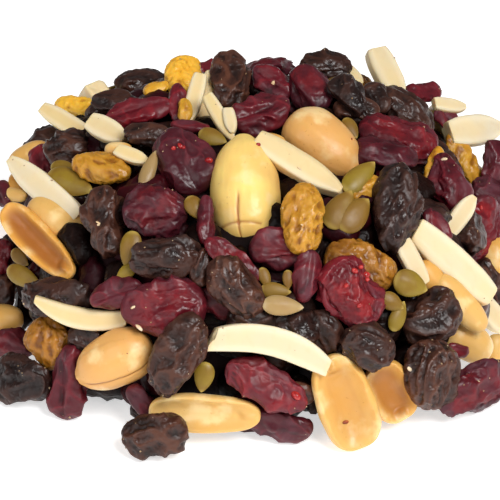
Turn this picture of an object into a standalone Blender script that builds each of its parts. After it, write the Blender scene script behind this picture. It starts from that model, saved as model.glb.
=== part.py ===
"""A loose heap of trail mix on a flat surface: peanuts, almond slivers, raisins, cranberries, pumpkin seeds.

The heap is one solid: a smaller core, with every piece that shows fused to it at its real size.
Each piece of the front is laid where it is seen, near the heap's outline, then the pieces shift
along their lines of sight until each lies in front of those it covers. The sides and the back,
which can't be seen from there, are covered by the same mix in a spiral from the ground up.
"""

from collections import namedtuple
from math import atan2, cos, pi, radians, sin, sqrt

import bmesh
import bpy
import numpy as np
from mathutils import Matrix, Vector

MM = 0.001

# The heap's smooth outer outline, in millimetres: half its width, how far it comes forward and
# goes back from its middle, and its height. The corners' powers make it squarer than an ellipse.
HALF_WIDTH = 44.0
FRONT_REACH = 42.0
BACK_REACH = 48.0
HEIGHT = 39.0
FRONT_CORNER = 2.3
BACK_CORNER = 3.4
CROWN = 2.6

# How far inside that outline the core lies, the pieces on the unseen sides are centred, and the
# thinnest of the seen pieces are.
CORE_DEPTH = 4.3
BED_DEPTH = 4.0
LEAST_DEPTH = 3.8

# Where the heap is looked at from: degrees above level, and millimetres from a point at its middle,
# with how high that point is and how far to each side of it the view goes.
VIEW_RISE = 32.0
VIEW_DISTANCE = 450.0
VIEW_HEIGHT = 12.0
VIEW_SIDE = 41.7

# How deep one piece presses into the next, and the gap left below the lowest ones.
PRESS = 1.4
FOOT_GAP = 0.08

# Thickness as a share of width, and the sides around and along a piece, for each kind.
Kind = namedtuple("Kind", "thickness around along")
KINDS = {
    "peanut": Kind(0.9, 7, 5),
    "half": Kind(0.62, 7, 5),
    "almond": Kind(0.6, 4, 5),
    "raisin": Kind(0.72, 6, 4),
    "cranberry": Kind(0.66, 6, 4),
    "golden": Kind(0.66, 6, 4),
    "pepita": Kind(0.42, 4, 4),
    "seed": Kind(0.6, 4, 4),
}
SMALL_LENGTH = 6.7
SMALL_SIDES = (4, 3)

# Bits shorter than this, mostly the ends of buried pieces, get no solid of their own.
LEAST_SOLID = 4.7

# One piece: millimetres right of and above the middle of the view, length and width as seen,
# and the way its head points, in degrees clockwise from the right. Bend bows it sideways, and
# lean tips its head towards the viewer where it doesn't simply follow the heap's slope.
Piece = namedtuple("Piece", "kind across up length width turn bend lean", defaults=(0.0, None))

# The far row along the top, then forwards, so that what covers a piece comes after it.
TOP_ROW = [
    Piece("golden", -15.7, 27.0, 4.5, 2.8, -20),
    Piece("golden", -11.2, 28.7, 7.3, 6.3, 100),
    Piece("almond", 22.7, 29.5, 8.5, 4.4, 65),
    Piece("almond", 17.3, 29.0, 4.0, 2.2, 50),
    Piece("golden", -29.3, 23.8, 6.8, 4.4, 10),
    Piece("raisin", 12.7, 30.7, 8.8, 5.8, 10),
    Piece("almond", -7.0, 25.0, 9.5, 3.5, 100),
    Piece("almond", -9.2, 25.3, 8.5, 2.8, 103),
    Piece("raisin", -3.2, 28.3, 10.0, 7.0, 88),
    Piece("golden", -10.8, 23.3, 4.0, 2.6, 90),
    Piece("almond", -3.3, 21.5, 4.5, 2.2, 80),
    Piece("almond", -5.0, 22.0, 9.0, 2.5, 60),
    Piece("cranberry", 3.5, 27.7, 7.8, 5.6, 35),
    Piece("raisin", 17.7, 23.0, 8.0, 5.0, 10),
    Piece("cranberry", 10.2, 26.8, 8.2, 7.2, 70),
    Piece("raisin", 21.2, 25.2, 5.8, 4.6, 70),
    Piece("raisin", 16.7, 25.7, 7.6, 6.0, 60),
    Piece("cranberry", 27.7, 25.8, 8.8, 3.9, -15),
    Piece("almond", 33.2, 24.0, 5.5, 2.6, 5),
    Piece("cranberry", 32.8, 21.3, 6.2, 4.4, 55),
    Piece("cranberry", 2.0, 22.5, 10.2, 7.6, -20),
]
LEFT_SHOULDER = [
    Piece("almond", -30.3, 21.0, 10.4, 3.2, 32),
    Piece("raisin", -22.5, 24.7, 8.0, 4.8, 5),
    Piece("almond", -23.7, 19.8, 7.0, 4.0, 28),
    Piece("cranberry", -10.0, 20.7, 6.6, 2.4, 5),
    Piece("cranberry", -18.7, 23.0, 12.0, 5.4, 165),
    Piece("cranberry", -12.2, 24.5, 6.8, 3.2, 92),
    Piece("pepita", -6.2, 18.8, 5.0, 3.2, 20),
    Piece("raisin", -17.2, 19.0, 8.0, 4.6, 5),
    Piece("raisin", -30.7, 17.0, 7.8, 7.0, -10),
    Piece("half", -22.0, 16.8, 4.6, 2.8, 0),
    Piece("almond", -19.7, 15.7, 6.0, 2.6, 22),
    Piece("half", -37.0, 15.3, 7.4, 5.6, -30),
    Piece("cranberry", -34.8, 14.8, 5.6, 4.4, 80),
    Piece("pepita", -31.0, 13.7, 4.6, 2.6, 10),
    Piece("golden", -24.8, 13.8, 10.0, 5.8, 15),
    Piece("pepita", -30.0, 11.2, 8.4, 4.8, 20),
]
RIGHT_SHOULDER = [
    Piece("cranberry", 41.0, 14.2, 8.4, 6.0, 90),
    Piece("cranberry", 40.3, 9.7, 6.8, 6.0, 0),
    Piece("almond", 37.2, 19.8, 9.4, 5.2, -8),
    Piece("golden", 35.8, 15.0, 10.2, 4.6, 60),
    Piece("golden", 30.5, 13.5, 8.0, 3.0, 105),
    Piece("cranberry", 33.2, 11.3, 10.0, 7.2, 72),
    Piece("cranberry", 31.2, 4.0, 6.6, 3.8, 50),
    Piece("pepita", 16.8, 20.3, 4.0, 2.5, 60),
    Piece("cranberry", 24.8, 18.7, 14.0, 10.2, 22),
    Piece("cranberry", 38.0, 3.0, 11.4, 8.6, -60),
    Piece("almond", 35.0, 5.8, 7.6, 3.2, -53),
]
MIDDLE = [
    Piece("pepita", -9.2, 7.0, 4.5, 3.0, 60),
    Piece("cranberry", -7.3, 5.0, 8.4, 3.2, 92),
    Piece("cranberry", -15.8, 6.3, 11.0, 9.6, 0),
    Piece("cranberry", -11.0, 14.5, 12.0, 10.8, 60),
    Piece("seed", -16.8, 13.5, 6.8, 2.6, -70),
    Piece("cranberry", 5.0, 0.0, 10.6, 7.4, 0),
    Piece("golden", 19.3, 10.3, 6.0, 4.4, -30),
    Piece("pepita", 17.3, 6.0, 7.2, 5.2, -45),
    Piece("pepita", 15.0, 6.8, 7.4, 4.6, -58),
    Piece("pepita", 18.3, 12.2, 7.2, 4.0, -45),
    Piece("half", 3.7, 18.0, 4.6, 3.4, 10),
    Piece("peanut", 12.2, 17.5, 14.4, 10.2, 40),
    Piece("almond", 8.3, 14.0, 17.0, 4.8, 32),
    Piece("golden", 8.7, 5.2, 12.2, 7.5, 94),
    Piece("peanut", -0.8, 10.0, 18.6, 11.8, -92),
]
LEFT_SIDE = [
    Piece("cranberry", -41.0, 9.2, 4.4, 3.8, 60),
    Piece("half", -39.5, 9.2, 4.4, 2.4, 10),
    Piece("raisin", -39.0, 7.8, 4.0, 2.6, 0),
    Piece("pepita", -20.0, 0.0, 6.5, 3.6, 100),
    Piece("pepita", -20.7, -3.7, 3.6, 2.4, 150),
    Piece("half", -29.7, 3.2, 18.0, 6.8, 33),
    Piece("raisin", -24.3, 4.7, 12.2, 8.0, 82),
    Piece("cranberry", -41.3, -1.3, 6.6, 5.0, 90),
    Piece("pepita", -38.3, -1.3, 3.8, 2.4, 40),
    Piece("pepita", -37.7, -4.5, 6.4, 3.4, 25),
    Piece("half", -35.0, 1.3, 16.5, 6.0, 44),
    Piece("almond", -34.2, 10.0, 15.6, 4.6, 41),
    Piece("raisin", -41.3, -7.2, 6.6, 5.6, 90),
    Piece("raisin", -32.0, -8.0, 12.6, 7.4, -2),
    Piece("half", -42.3, -12.3, 8.6, 5.2, -4),
    Piece("cranberry", -39.7, -15.8, 7.6, 5.6, 10),
    Piece("raisin", -27.3, -15.0, 6.6, 5.6, 20),
    Piece("golden", -33.2, -15.3, 9.0, 7.8, 60),
    Piece("almond", -28.3, -10.5, 16.4, 3.6, 11, 0.8),
]
RIGHT_SIDE = [
    Piece("raisin", 40.0, -5.5, 8.4, 6.8, 60),
    Piece("half", 30.6, -5.0, 7.5, 4.6, 50),
    Piece("half", 35.3, -8.9, 12.0, 5.2, 45),
    Piece("almond", 33.7, -2.3, 17.6, 5.4, 41),
    Piece("almond", 26.8, -1.6, 9.5, 3.4, 62),
    Piece("golden", 18.3, -2.7, 12.6, 9.2, 15),
    Piece("raisin", 24.7, 7.0, 15.0, 9.0, -84),
    Piece("cranberry", 9.3, -4.3, 9.0, 5.0, 100),
    Piece("pepita", 23.7, -8.7, 4.4, 3.0, 30),
    Piece("pepita", 24.7, -11.0, 5.4, 2.8, -68),
    Piece("pepita", 26.8, -5.7, 6.0, 4.6, 20),
    Piece("half", 41.3, -16.8, 5.0, 3.6, 90),
    Piece("half", 36.7, -15.3, 8.6, 6.6, 30),
    Piece("almond", 40.0, -11.3, 7.6, 3.8, 48),
    Piece("cranberry", 34.7, -16.8, 3.8, 2.4, 15),
    Piece("raisin", 30.3, -11.5, 10.6, 9.6, -30),
    Piece("raisin", 12.2, -13.7, 8.0, 6.6, 60),
    Piece("cranberry", 16.7, -7.2, 12.8, 11.2, 60),
]
FRONT = [
    Piece("pepita", 2.5, -4.7, 3.8, 2.0, 70),
    Piece("pepita", 6.3, -5.0, 3.4, 1.8, 90),
    Piece("pepita", 4.3, -6.8, 5.2, 2.8, 5),
    Piece("raisin", -8.2, -3.0, 6.8, 4.6, 95),
    Piece("cranberry", -5.8, -8.8, 7.0, 4.6, 30),
    Piece("cranberry", -2.7, -1.7, 11.6, 4.2, 36),
    Piece("raisin", 0.3, -12.0, 8.6, 6.6, 10),
    Piece("raisin", 8.0, -12.7, 8.6, 7.0, 20),
    Piece("seed", 5.5, -9.3, 7.0, 3.4, 5),
    Piece("raisin", -2.5, -6.3, 12.0, 7.8, 48),
    Piece("raisin", -14.2, -1.3, 12.2, 7.4, -5),
    Piece("cranberry", -22.3, -7.2, 9.2, 5.8, -18),
    Piece("cranberry", -18.0, -25.0, 6.4, 4.4, 40),
    Piece("cranberry", -30.2, -22.5, 13.0, 7.6, 93),
    Piece("raisin", -38.3, -21.5, 10.0, 8.2, 5),
    Piece("peanut", -22.7, -18.3, 13.8, 9.4, 155),
    Piece("cranberry", -14.2, -9.8, 14.4, 11.0, -15),
    Piece("raisin", -12.0, -17.5, 15.0, 8.6, -62),
    Piece("pepita", -7.7, -21.2, 5.2, 3.4, 100),
    Piece("cranberry", 4.2, -29.0, 12.8, 6.0, 12),
    Piece("raisin", 8.7, -23.8, 4.6, 3.6, 30),
    Piece("cranberry", 2.8, -22.5, 15.0, 7.8, 28),
    Piece("half", -7.5, -27.0, 18.6, 6.8, 2),
    Piece("raisin", -15.8, -31.0, 11.0, 7.6, -14),
    Piece("almond", 3.3, -16.2, 21.0, 5.0, 13, -1.1),
    Piece("cranberry", 37.3, -23.3, 13.4, 8.8, -20),
    Piece("half", 23.0, -23.5, 10.4, 8.6, 60),
    Piece("raisin", 19.7, -15.8, 9.2, 8.2, 20),
    Piece("half", 15.7, -25.2, 16.4, 10.0, 250),
    Piece("raisin", 30.2, -20.8, 11.6, 10.2, 95),
]
SEEN = TOP_ROW + LEFT_SHOULDER + RIGHT_SHOULDER + MIDDLE + LEFT_SIDE + RIGHT_SIDE + FRONT

# The mix that covers the sides and the back, and the dark fruit lower down in the gaps between
# the seen pieces, with the usual length and width of each kind.
DARK_MIX = ["raisin", "cranberry", "raisin"]
MIX = ["raisin", "cranberry", "half", "raisin", "almond", "cranberry", "pepita", "raisin", "golden", "peanut"]
USUAL_SIZE = {
    "peanut": (15.5, 10.5),
    "half": (15.0, 9.0),
    "almond": (14.5, 4.8),
    "raisin": (11.0, 8.2),
    "cranberry": (11.5, 8.6),
    "golden": (10.5, 8.0),
    "pepita": (9.0, 5.4),
}

# The spiral's points and its turn from one to the next, the sizes tried at each, how far a piece
# may ride up on its neighbours, how much lower the gap pieces lie, and the share of a piece of
# the full mix that must be out of the viewer's sight.
SPIRAL_POINTS = 260
SPIRAL_STEP = pi * (3 - sqrt(5))
TRIES = (1.1, 0.95, 0.8)
MOST_RISE = 2.0
GAP_DEPTH = 2.6
HIDDEN_SHARE = 0.6
# At the foot in front, where the heap ends on the table, only what others hide is laid.
FOOT_HEIGHT = 12.0
FOOT_HIDDEN = 0.97


def unit(vector):
    return vector / np.linalg.norm(vector)


def mound_level(points, depth):
    """Under 1 inside the heap's outline drawn in by the depth, 1 on it and over 1 outside."""
    x, y, z = np.moveaxis(points, -1, 0)
    corner = np.where(y < 0, FRONT_CORNER, BACK_CORNER)
    reach = np.where(y < 0, FRONT_REACH, BACK_REACH) - depth
    flat = np.abs(x / (HALF_WIDTH - depth)) ** corner + np.abs(y / reach) ** corner
    return flat ** (CROWN / corner) + (np.maximum(z, 0) / (HEIGHT - depth)) ** CROWN


def mound_normal(point, depth):
    """The way straight out of the heap at a point on it, from small steps each way."""
    steps = np.eye(3) * 0.05
    ahead = mound_level(point + steps, depth)
    behind = mound_level(point - steps, depth)
    return unit(ahead - behind)


def mound_ring(height, angle, depth):
    """The point of the drawn-in outline at a height and an angle around it."""
    drawn = (1 - (height / (HEIGHT - depth)) ** CROWN) ** (1 / CROWN)
    corner = FRONT_CORNER if sin(angle) < 0 else BACK_CORNER
    reach = (FRONT_REACH if sin(angle) < 0 else BACK_REACH) - depth
    side = np.sign(cos(angle)) * abs(cos(angle)) ** (2 / corner)
    along = np.sign(sin(angle)) * abs(sin(angle)) ** (2 / corner)
    return np.array([(HALF_WIDTH - depth) * drawn * side, reach * drawn * along, height])


TO_VIEWER = np.array([0, -cos(radians(VIEW_RISE)), sin(radians(VIEW_RISE))])
VIEW_UP = np.array([0, sin(radians(VIEW_RISE)), cos(radians(VIEW_RISE))])
VIEW_RIGHT = np.array([1.0, 0, 0])
EYE = np.array([0, 0, VIEW_HEIGHT]) + TO_VIEWER * VIEW_DISTANCE


def beads(size, head, side):
    """Balls that stand for a piece while it is laid: five along it by three across."""
    length, width, thick = size
    along = np.array([-0.8, -0.42, 0, 0.42, 0.8])
    swell = np.sqrt(1 - along**2)
    across = np.array([-1, 0, 1])
    offsets = (
        along[:, None, None] * head * (length - thick * 0.3) / 2
        + (across[:, None] * swell[:, None, None] * side) * max(width - thick, 0) / 2
    )
    radii = np.broadcast_to((swell * thick / 2)[:, None], offsets.shape[:2])
    return offsets.reshape(-1, 3), radii.reshape(-1)


def heading(turn, facing, lean):
    """The head's direction: its angle in the view, tipped to follow the slope or by the lean."""
    flat = VIEW_RIGHT * cos(radians(turn)) - VIEW_UP * sin(radians(turn))
    tip = -(flat @ facing) / (TO_VIEWER @ facing) if lean is None else np.tan(radians(lean))
    return flat + np.clip(tip, -0.9, 0.9) * TO_VIEWER


def aim(piece):
    """A seen piece on its line of sight, just inside the heap's outline, with its axes and balls."""
    ray = unit(VIEW_RIGHT * piece.across + VIEW_UP * piece.up - TO_VIEWER * VIEW_DISTANCE)
    steps = np.arange(VIEW_DISTANCE - 70, VIEW_DISTANCE + 70, 0.25)
    depth = max(LEAST_DEPTH, 1.5 + piece.width * KINDS[piece.kind].thickness / 2)
    levels = mound_level(EYE + steps[:, None] * ray, depth)
    inside = np.flatnonzero(levels < 1)
    reach = steps[inside[0] if len(inside) else np.argmin(levels)]
    slope = mound_normal(EYE + reach * ray, depth)
    facing = unit(0.55 * TO_VIEWER + 0.45 * slope)
    slanted = heading(piece.turn, facing, piece.lean)
    head = unit(slanted)
    face = unit(facing - (facing @ head) * head)
    side = np.cross(face, head)
    width = piece.width * reach / VIEW_DISTANCE
    length = piece.length * reach / VIEW_DISTANCE * np.linalg.norm(slanted)
    size = np.array([length, width, width * KINDS[piece.kind].thickness])
    offsets, radii = beads(size, head, side)
    ground = ((EYE[2] + offsets[:, 2] - radii) / -ray[2]).min() - reach
    return EYE + reach * ray, ray, (head, side, face), size, offsets, radii, ground


def needed_gaps(aimed):
    """For each pair, how much deeper the first must lie than the second so that they only touch."""
    count = len(aimed)
    gaps = np.full((count, count), -np.inf)
    balls = np.array([middle + offsets for middle, _, _, _, offsets, _, _ in aimed])
    radii = np.array([piece[5] for piece in aimed])
    for behind in range(count):
        for before in range(behind + 1, count):
            apart = balls[before][None] - balls[behind][:, None]
            nearer = apart @ TO_VIEWER
            aside = (apart**2).sum(axis=-1) - nearer**2
            reach = np.maximum(radii[behind][:, None] + radii[before][None] - PRESS, 0) ** 2
            if (aside < reach).any():
                deeper = np.sqrt(np.maximum(reach - aside, 0)) - nearer
                gaps[behind, before] = deeper[aside < reach].max()
    return gaps


def lay_seen(pieces):
    """Shifts the seen pieces along their lines of sight, the covered ones in and the others out,
    in small equal shares until each lies in front of those it covers."""
    aimed = [aim(piece) for piece in pieces]
    gaps = needed_gaps(aimed)
    ground = np.array([piece[6] for piece in aimed])
    shift = np.zeros(len(aimed))
    for _ in range(400):
        short = np.maximum(gaps - (shift[:, None] - shift[None]), 0)
        shift = 0.985 * shift + 0.3 * (short.max(axis=1) - short.max(axis=0))
        shift = np.minimum(shift, ground)
    for before in range(1, len(aimed)):
        shift[before] = min(shift[before], (shift[:before] - gaps[:before, before]).min())
    return [
        (middle + shift[i] * ray, axes, size, offsets, radii)
        for i, (middle, ray, axes, size, offsets, radii, _) in enumerate(aimed)
    ]


def hidden_share(balls, laid):
    """How much of a piece the viewer can't see: behind the heap, behind a nearer piece or too far
    to one side."""
    sight = balls[:, None] + np.arange(10, 70, 2.0)[None, :, None] * TO_VIEWER
    behind_heap = (mound_level(sight, 3.0) < 1).any(axis=1)
    apart = laid[None, :, :3] - balls[:, None]
    nearer = apart @ TO_VIEWER
    aside = (apart**2).sum(axis=-1) - nearer**2
    covered = ((nearer > 0) & (aside < laid[None, :, 3] ** 2)).any(axis=1)
    from_eye = balls - EYE
    beyond = abs(from_eye @ VIEW_RIGHT / (from_eye @ TO_VIEWER)) * VIEW_DISTANCE > VIEW_SIDE
    return (behind_heap | covered | beyond).mean()


def clear_way(start, way, offsets, radii, laid, furthest):
    """How far a piece goes along the way before it meets a laid piece."""
    apart = laid[None, :, :3] - (start + offsets)[:, None]
    ahead = apart @ way
    aside = (apart**2).sum(axis=-1) - ahead**2
    reach = np.maximum(radii[:, None] + laid[None, :, 3] - PRESS, 0) ** 2
    contact = ahead - np.sqrt(np.maximum(reach - aside, 0))
    return min(furthest, np.where(aside < reach, contact, np.inf).min())


def lay_unseen(number, laid):
    """Drops a piece straight onto the heap at a point of a spiral, where the viewer can't see it,
    or lays a dark one lower in a gap, trying smaller ones where others already lie."""
    rng = np.random.default_rng(1000 + number)
    height = (HEIGHT - BED_DEPTH) * (0.03 + 0.96 * ((number + 0.5) / SPIRAL_POINTS) ** 0.85)
    point = mound_ring(height, number * SPIRAL_STEP, BED_DEPTH)
    out = mound_normal(point, BED_DEPTH)
    aside = unit(np.cross(out, [0.3, 0.2, 1.0]))
    start = point + out * 40
    for grown in TRIES:
        turn = rng.uniform(0, 2 * pi)
        head = unit(aside * cos(turn) + np.cross(out, aside) * sin(turn) + out * rng.uniform(-0.2, 0.2))
        face = unit(out - (out @ head) * head)
        side = np.cross(face, head)
        choices = ((rng.choice(MIX), 0.0), (rng.choice(DARK_MIX), GAP_DEPTH))
        for kind, depth in choices:
            length, width = np.array(USUAL_SIZE[kind]) * grown
            size = np.array([length, width, width * KINDS[kind].thickness])
            offsets, radii = beads(size, head, side)
            stop = clear_way(start, -out, offsets, radii, laid, 40 + depth)
            middle = start - out * stop
            middle[2] += max(0, (radii - middle[2] - offsets[:, 2]).max())
            hidden = hidden_share(middle + offsets, laid)
            at_foot = middle[1] < 0 and middle[2] < FOOT_HEIGHT
            fits = stop > 40 + depth - MOST_RISE and not (at_foot and hidden < FOOT_HIDDEN)
            if fits and (depth or hidden > HIDDEN_SHARE):
                return kind, middle, (head, side, face), size, offsets, radii
    return None


def under_piece(middle, size):
    """What lies unseen between a loose piece and the core: a lump that stands on the core."""
    inward = -mound_normal(middle, CORE_DEPTH)
    steps = np.arange(0, 25, 0.25)
    levels = mound_level(middle + steps[:, None] * inward, CORE_DEPTH)
    depth = steps[np.argmax(levels < 1)] + 2.0
    face = unit(np.cross(inward, [0.2, 1.0, 0.3]))
    width = 0.55 * size[1] + 0.8
    axes = (inward, np.cross(face, inward), face)
    return middle + inward * depth / 2, axes, np.array([depth + 2.0, width, width])


def peanut_form(s, a, draw):
    """An egg a little narrower at the head, where a small nib stands."""
    round_off = (1 - abs(s) ** 2.4) ** (1 / 2.4) * (1 - 0.08 * s)
    crease = 0.06 * np.exp(-((cos(a) / 0.2) ** 2)) if sin(a) > 0 else 0
    return s, round_off * cos(a), round_off * (sin(a) - crease)


def half_form(s, a, draw):
    """Half a kernel: a dome below, and a flat side with a rim and a long hollow above."""
    round_off = (1 - abs(s) ** 2.4) ** (1 / 2.4) * (1 - 0.06 * s)
    if sin(a) <= 0:
        return s, round_off * cos(a), round_off * sin(a) - 0.1
    rim = 0.5 * sin(a) ** 0.6 - 0.75 * np.exp(-((cos(a) / 0.45) ** 2)) * (1 - s * s)
    return s, round_off * cos(a), round_off * rim


def almond_form(s, a, draw):
    """A cut sliver: four flat sides, blunt at the tail and tapered at the head."""
    width = (1 - abs(s) ** (3.2 if s > 0 else 7)) ** 0.5 * (1 - 0.18 * s)
    depth = (1 - abs(s) ** 6) ** 0.5
    flat_cos = np.sign(cos(a)) * abs(cos(a)) ** 0.55
    flat_sin = np.sign(sin(a)) * abs(sin(a)) ** 0.55
    return s, width * flat_cos, depth * flat_sin


def shrunk_form(s, a, draw):
    """A dried fruit: an egg with three runs of shallow lumps around it."""
    round_off = (1 - abs(s) ** 2.3) ** (1 / 2.3)
    lumps = (
        1
        + 0.10 * sin(2 * a + 6.3 * draw[0] + 1.6 * s)
        + 0.07 * sin(3 * a + 6.3 * draw[1] - 2.2 * s)
        + 0.05 * sin(5 * a + 6.3 * draw[2] + 3.0 * s)
    )
    return s, round_off * lumps * cos(a), round_off * lumps * sin(a)


def folded_form(s, a, draw):
    """A pressed dried berry: lumpy and cornered, with a long fold let into its face."""
    round_off = (1 - abs(s) ** 2.2) ** (1 / 2.2)
    lumps = 1 + 0.13 * sin(2 * a + 6.3 * draw[0] + 1.2 * s) + 0.09 * sin(3 * a + 6.3 * draw[1] - 1.8 * s)
    wander = 0.35 * (draw[2] - 0.5) + 0.3 * s * (draw[3] - 0.5)
    fold = 0.34 * np.exp(-(((cos(a) - wander) / 0.3) ** 2)) if sin(a) > 0 else 0
    return s, round_off * lumps * cos(a), round_off * (lumps * sin(a) - fold)


def drop_form(s, a, draw):
    """A flat seed: a pointed oval with thin edges."""
    outline = ((1 + s) ** 0.5 * (1 - s) ** 0.8) / 1.06
    return s, outline * cos(a), outline * sin(a)


FORMS = {
    "peanut": peanut_form,
    "half": half_form,
    "almond": almond_form,
    "raisin": shrunk_form,
    "golden": shrunk_form,
    "cranberry": folded_form,
    "pepita": drop_form,
    "seed": drop_form,
}


def new_object(name, mesh, collection):
    obj = bpy.data.objects.new(name, mesh)
    collection.objects.link(obj)
    return obj


def make_piece(name, kind, middle, axes, size, bend, draw, collection):
    """A sphere drawn out to the piece's form and size, and set in its place."""
    sphere = bmesh.new()
    around, along = SMALL_SIDES if size[0] < SMALL_LENGTH else KINDS[kind][1:]
    bmesh.ops.create_uvsphere(sphere, u_segments=around, v_segments=along, radius=1.0)
    for vertex in sphere.verts:
        s = max(-1.0, min(1.0, vertex.co.z))
        x, y, z = FORMS[kind](s, atan2(vertex.co.y, vertex.co.x) + 0.2, draw)
        bowed = y * size[1] / 2 - bend * (1 - 2 * s * s)
        vertex.co = Vector((x * size[0] / 2, bowed, z * size[2] / 2)) * MM
    bmesh.ops.recalc_face_normals(sphere, faces=sphere.faces)
    mesh = bpy.data.meshes.new(name)
    sphere.to_mesh(mesh)
    sphere.free()
    obj = new_object(name, mesh, collection)
    turned = Matrix([[axis[row] for axis in axes] for row in range(3)]).to_4x4()
    obj.matrix_world = Matrix.Translation(Vector(middle) * MM) @ turned
    lowest = min((obj.matrix_world @ vertex.co).z for vertex in mesh.vertices)
    obj.location.z += max(0.0, FOOT_GAP * MM - lowest)
    return obj


def make_core(collection):
    """A sphere drawn out to the heap's outline, with its lower half pressed flat on the ground."""
    sphere = bmesh.new()
    bmesh.ops.create_uvsphere(sphere, u_segments=18, v_segments=8, radius=1.0)
    for vertex in sphere.verts:
        angle = atan2(vertex.co.y, vertex.co.x)
        if vertex.co.z < -0.01:
            spread = sqrt(max(0.0, 1 - vertex.co.z**2))
            rim = mound_ring(0.0, angle, CORE_DEPTH)
            vertex.co = Vector((rim[0] * spread, rim[1] * spread, 0)) * MM
        else:
            height = (HEIGHT - CORE_DEPTH) * min(1.0, max(0.02, vertex.co.z))
            vertex.co = Vector(mound_ring(height, angle, CORE_DEPTH)) * MM
    mesh = bpy.data.meshes.new("trail_mix_heap")
    sphere.to_mesh(mesh)
    sphere.free()
    return new_object("trail_mix_heap", mesh, collection)


def fused_mesh(core, pieces):
    """The core and the pieces joined as one mesh of triangles."""
    bpy.context.view_layer.update()
    union = core.modifiers.new("Fused pieces", "BOOLEAN")
    union.operation = "UNION"
    union.operand_type = "COLLECTION"
    union.collection = pieces
    union.solver = "EXACT"
    graph = bpy.context.evaluated_depsgraph_get()
    fused = bmesh.new()
    fused.from_object(core, graph)
    core.modifiers.clear()
    bmesh.ops.triangulate(fused, faces=fused.faces)
    return fused


def skins(fused):
    """The separate skins of a mesh, each a list of its faces, the largest first."""
    left = set(fused.faces)
    found = []
    while left:
        edge_faces = [left.pop()]
        skin = list(edge_faces)
        while edge_faces:
            face = edge_faces.pop()
            near = {other for edge in face.edges for other in edge.link_faces if other in left}
            left -= near
            skin += near
            edge_faces += near
        found.append(skin)
    return sorted(found, key=len, reverse=True)


def volume(faces):
    """Six times the volume inside a skin of triangles, and below 0 for a sealed hollow's."""
    return sum(
        face.verts[0].co.dot(face.verts[1].co.cross(face.verts[2].co)) for face in faces
    )


def middle_of(faces):
    corners = [vertex.co for face in faces for vertex in face.verts]
    return np.mean(corners, axis=0) / MM


def mixed_material():
    material = bpy.data.materials.new("Nuts and dried fruit")
    material.use_nodes = True
    surface = material.node_tree.nodes["Principled BSDF"]
    surface.inputs["Base Color"].default_value = (0.22, 0.09, 0.05, 1)
    surface.inputs["Roughness"].default_value = 0.5
    surface.inputs["Metallic"].default_value = 0.0
    return material


for old in list(bpy.data.objects):
    bpy.data.objects.remove(old)

heap_collection = bpy.data.collections.new("Trail mix heap")
piece_collection = bpy.data.collections.new("Pieces to fuse")
bpy.context.scene.collection.children.link(heap_collection)
bpy.context.scene.collection.children.link(piece_collection)

heap = make_core(heap_collection)
placed = []
groups = []
for piece, (middle, axes, size, offsets, radii) in zip(SEEN, lay_seen(SEEN)):
    placed.append((piece.kind, middle, axes, size, piece.bend))
    groups.append(np.column_stack([middle + offsets, radii]))
for number in range(SPIRAL_POINTS):
    found = lay_unseen(number, np.concatenate(groups))
    if found:
        kind, middle, axes, size, offsets, radii = found
        placed.append((kind, middle, axes, size, 0.0))
        groups.append(np.column_stack([middle + offsets, radii]))
for index, (kind, middle, axes, size, bend) in enumerate(placed):
    if size[0] > LEAST_SOLID:
        draw = np.random.default_rng(index).random(4)
        make_piece(f"{kind}_{index}", kind, middle, axes, size, bend, draw, piece_collection)

# A piece that touches neither the core nor its neighbours gets the unseen lump that carries it.
fused = fused_mesh(heap, piece_collection)
places = np.array([middle for _, middle, _, _, _ in placed])
for skin in skins(fused)[1:]:
    if volume(skin) > 0:
        index = int(np.argmin(np.linalg.norm(places - middle_of(skin), axis=1)))
        middle, axes, size = under_piece(places[index], placed[index][3])
        make_piece(f"under_{index}", "raisin", middle, axes, size, 0.0, np.zeros(4), piece_collection)
fused.free()

# Hollows that fusing sealed are filled, and loose scraps dropped: only the outer skin stays.
fused = fused_mesh(heap, piece_collection)
spare = [face for skin in skins(fused)[1:] for face in skin]
bmesh.ops.delete(fused, geom=spare, context="FACES")
fused.to_mesh(heap.data)
fused.free()
for obj in list(piece_collection.objects):
    bpy.data.objects.remove(obj)
bpy.data.collections.remove(piece_collection)

heap.data.materials.append(mixed_material())
heap.data.shade_smooth()
heap.data.set_sharp_from_angle(angle=radians(35))
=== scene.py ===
from collections import namedtuple
from math import cos, pi, radians, sin, sqrt

import bpy
import numpy as np
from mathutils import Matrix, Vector


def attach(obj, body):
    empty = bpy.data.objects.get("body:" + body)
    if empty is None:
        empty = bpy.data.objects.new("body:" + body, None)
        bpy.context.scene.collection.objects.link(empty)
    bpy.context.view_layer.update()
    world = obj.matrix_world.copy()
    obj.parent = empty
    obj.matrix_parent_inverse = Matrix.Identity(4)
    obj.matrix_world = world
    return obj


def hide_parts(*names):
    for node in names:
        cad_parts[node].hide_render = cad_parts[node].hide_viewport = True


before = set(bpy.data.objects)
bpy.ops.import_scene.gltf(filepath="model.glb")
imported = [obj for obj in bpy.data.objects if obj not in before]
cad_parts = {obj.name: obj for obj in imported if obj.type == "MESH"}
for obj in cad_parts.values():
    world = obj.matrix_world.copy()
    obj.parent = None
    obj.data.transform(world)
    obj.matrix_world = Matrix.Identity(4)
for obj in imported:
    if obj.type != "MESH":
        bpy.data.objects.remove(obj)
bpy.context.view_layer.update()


# The buried middle of the heap: fruit and nuts that no gap quite lets one see. It is made as one
# lumpy mound of dried fruit, well inside the heap's outline, and stands on the ground by itself.

MM = 0.001

# The heap's smooth outer outline in millimetres, as half its width, its reach forward and back
# from its middle, and its height. The corners' powers make it squarer than an ellipse.
HALF_WIDTH = 44.0
FRONT_REACH = 42.0
BACK_REACH = 48.0
HEIGHT = 39.0
FRONT_CORNER = 2.3
BACK_CORNER = 3.4
CROWN = 2.6

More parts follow.
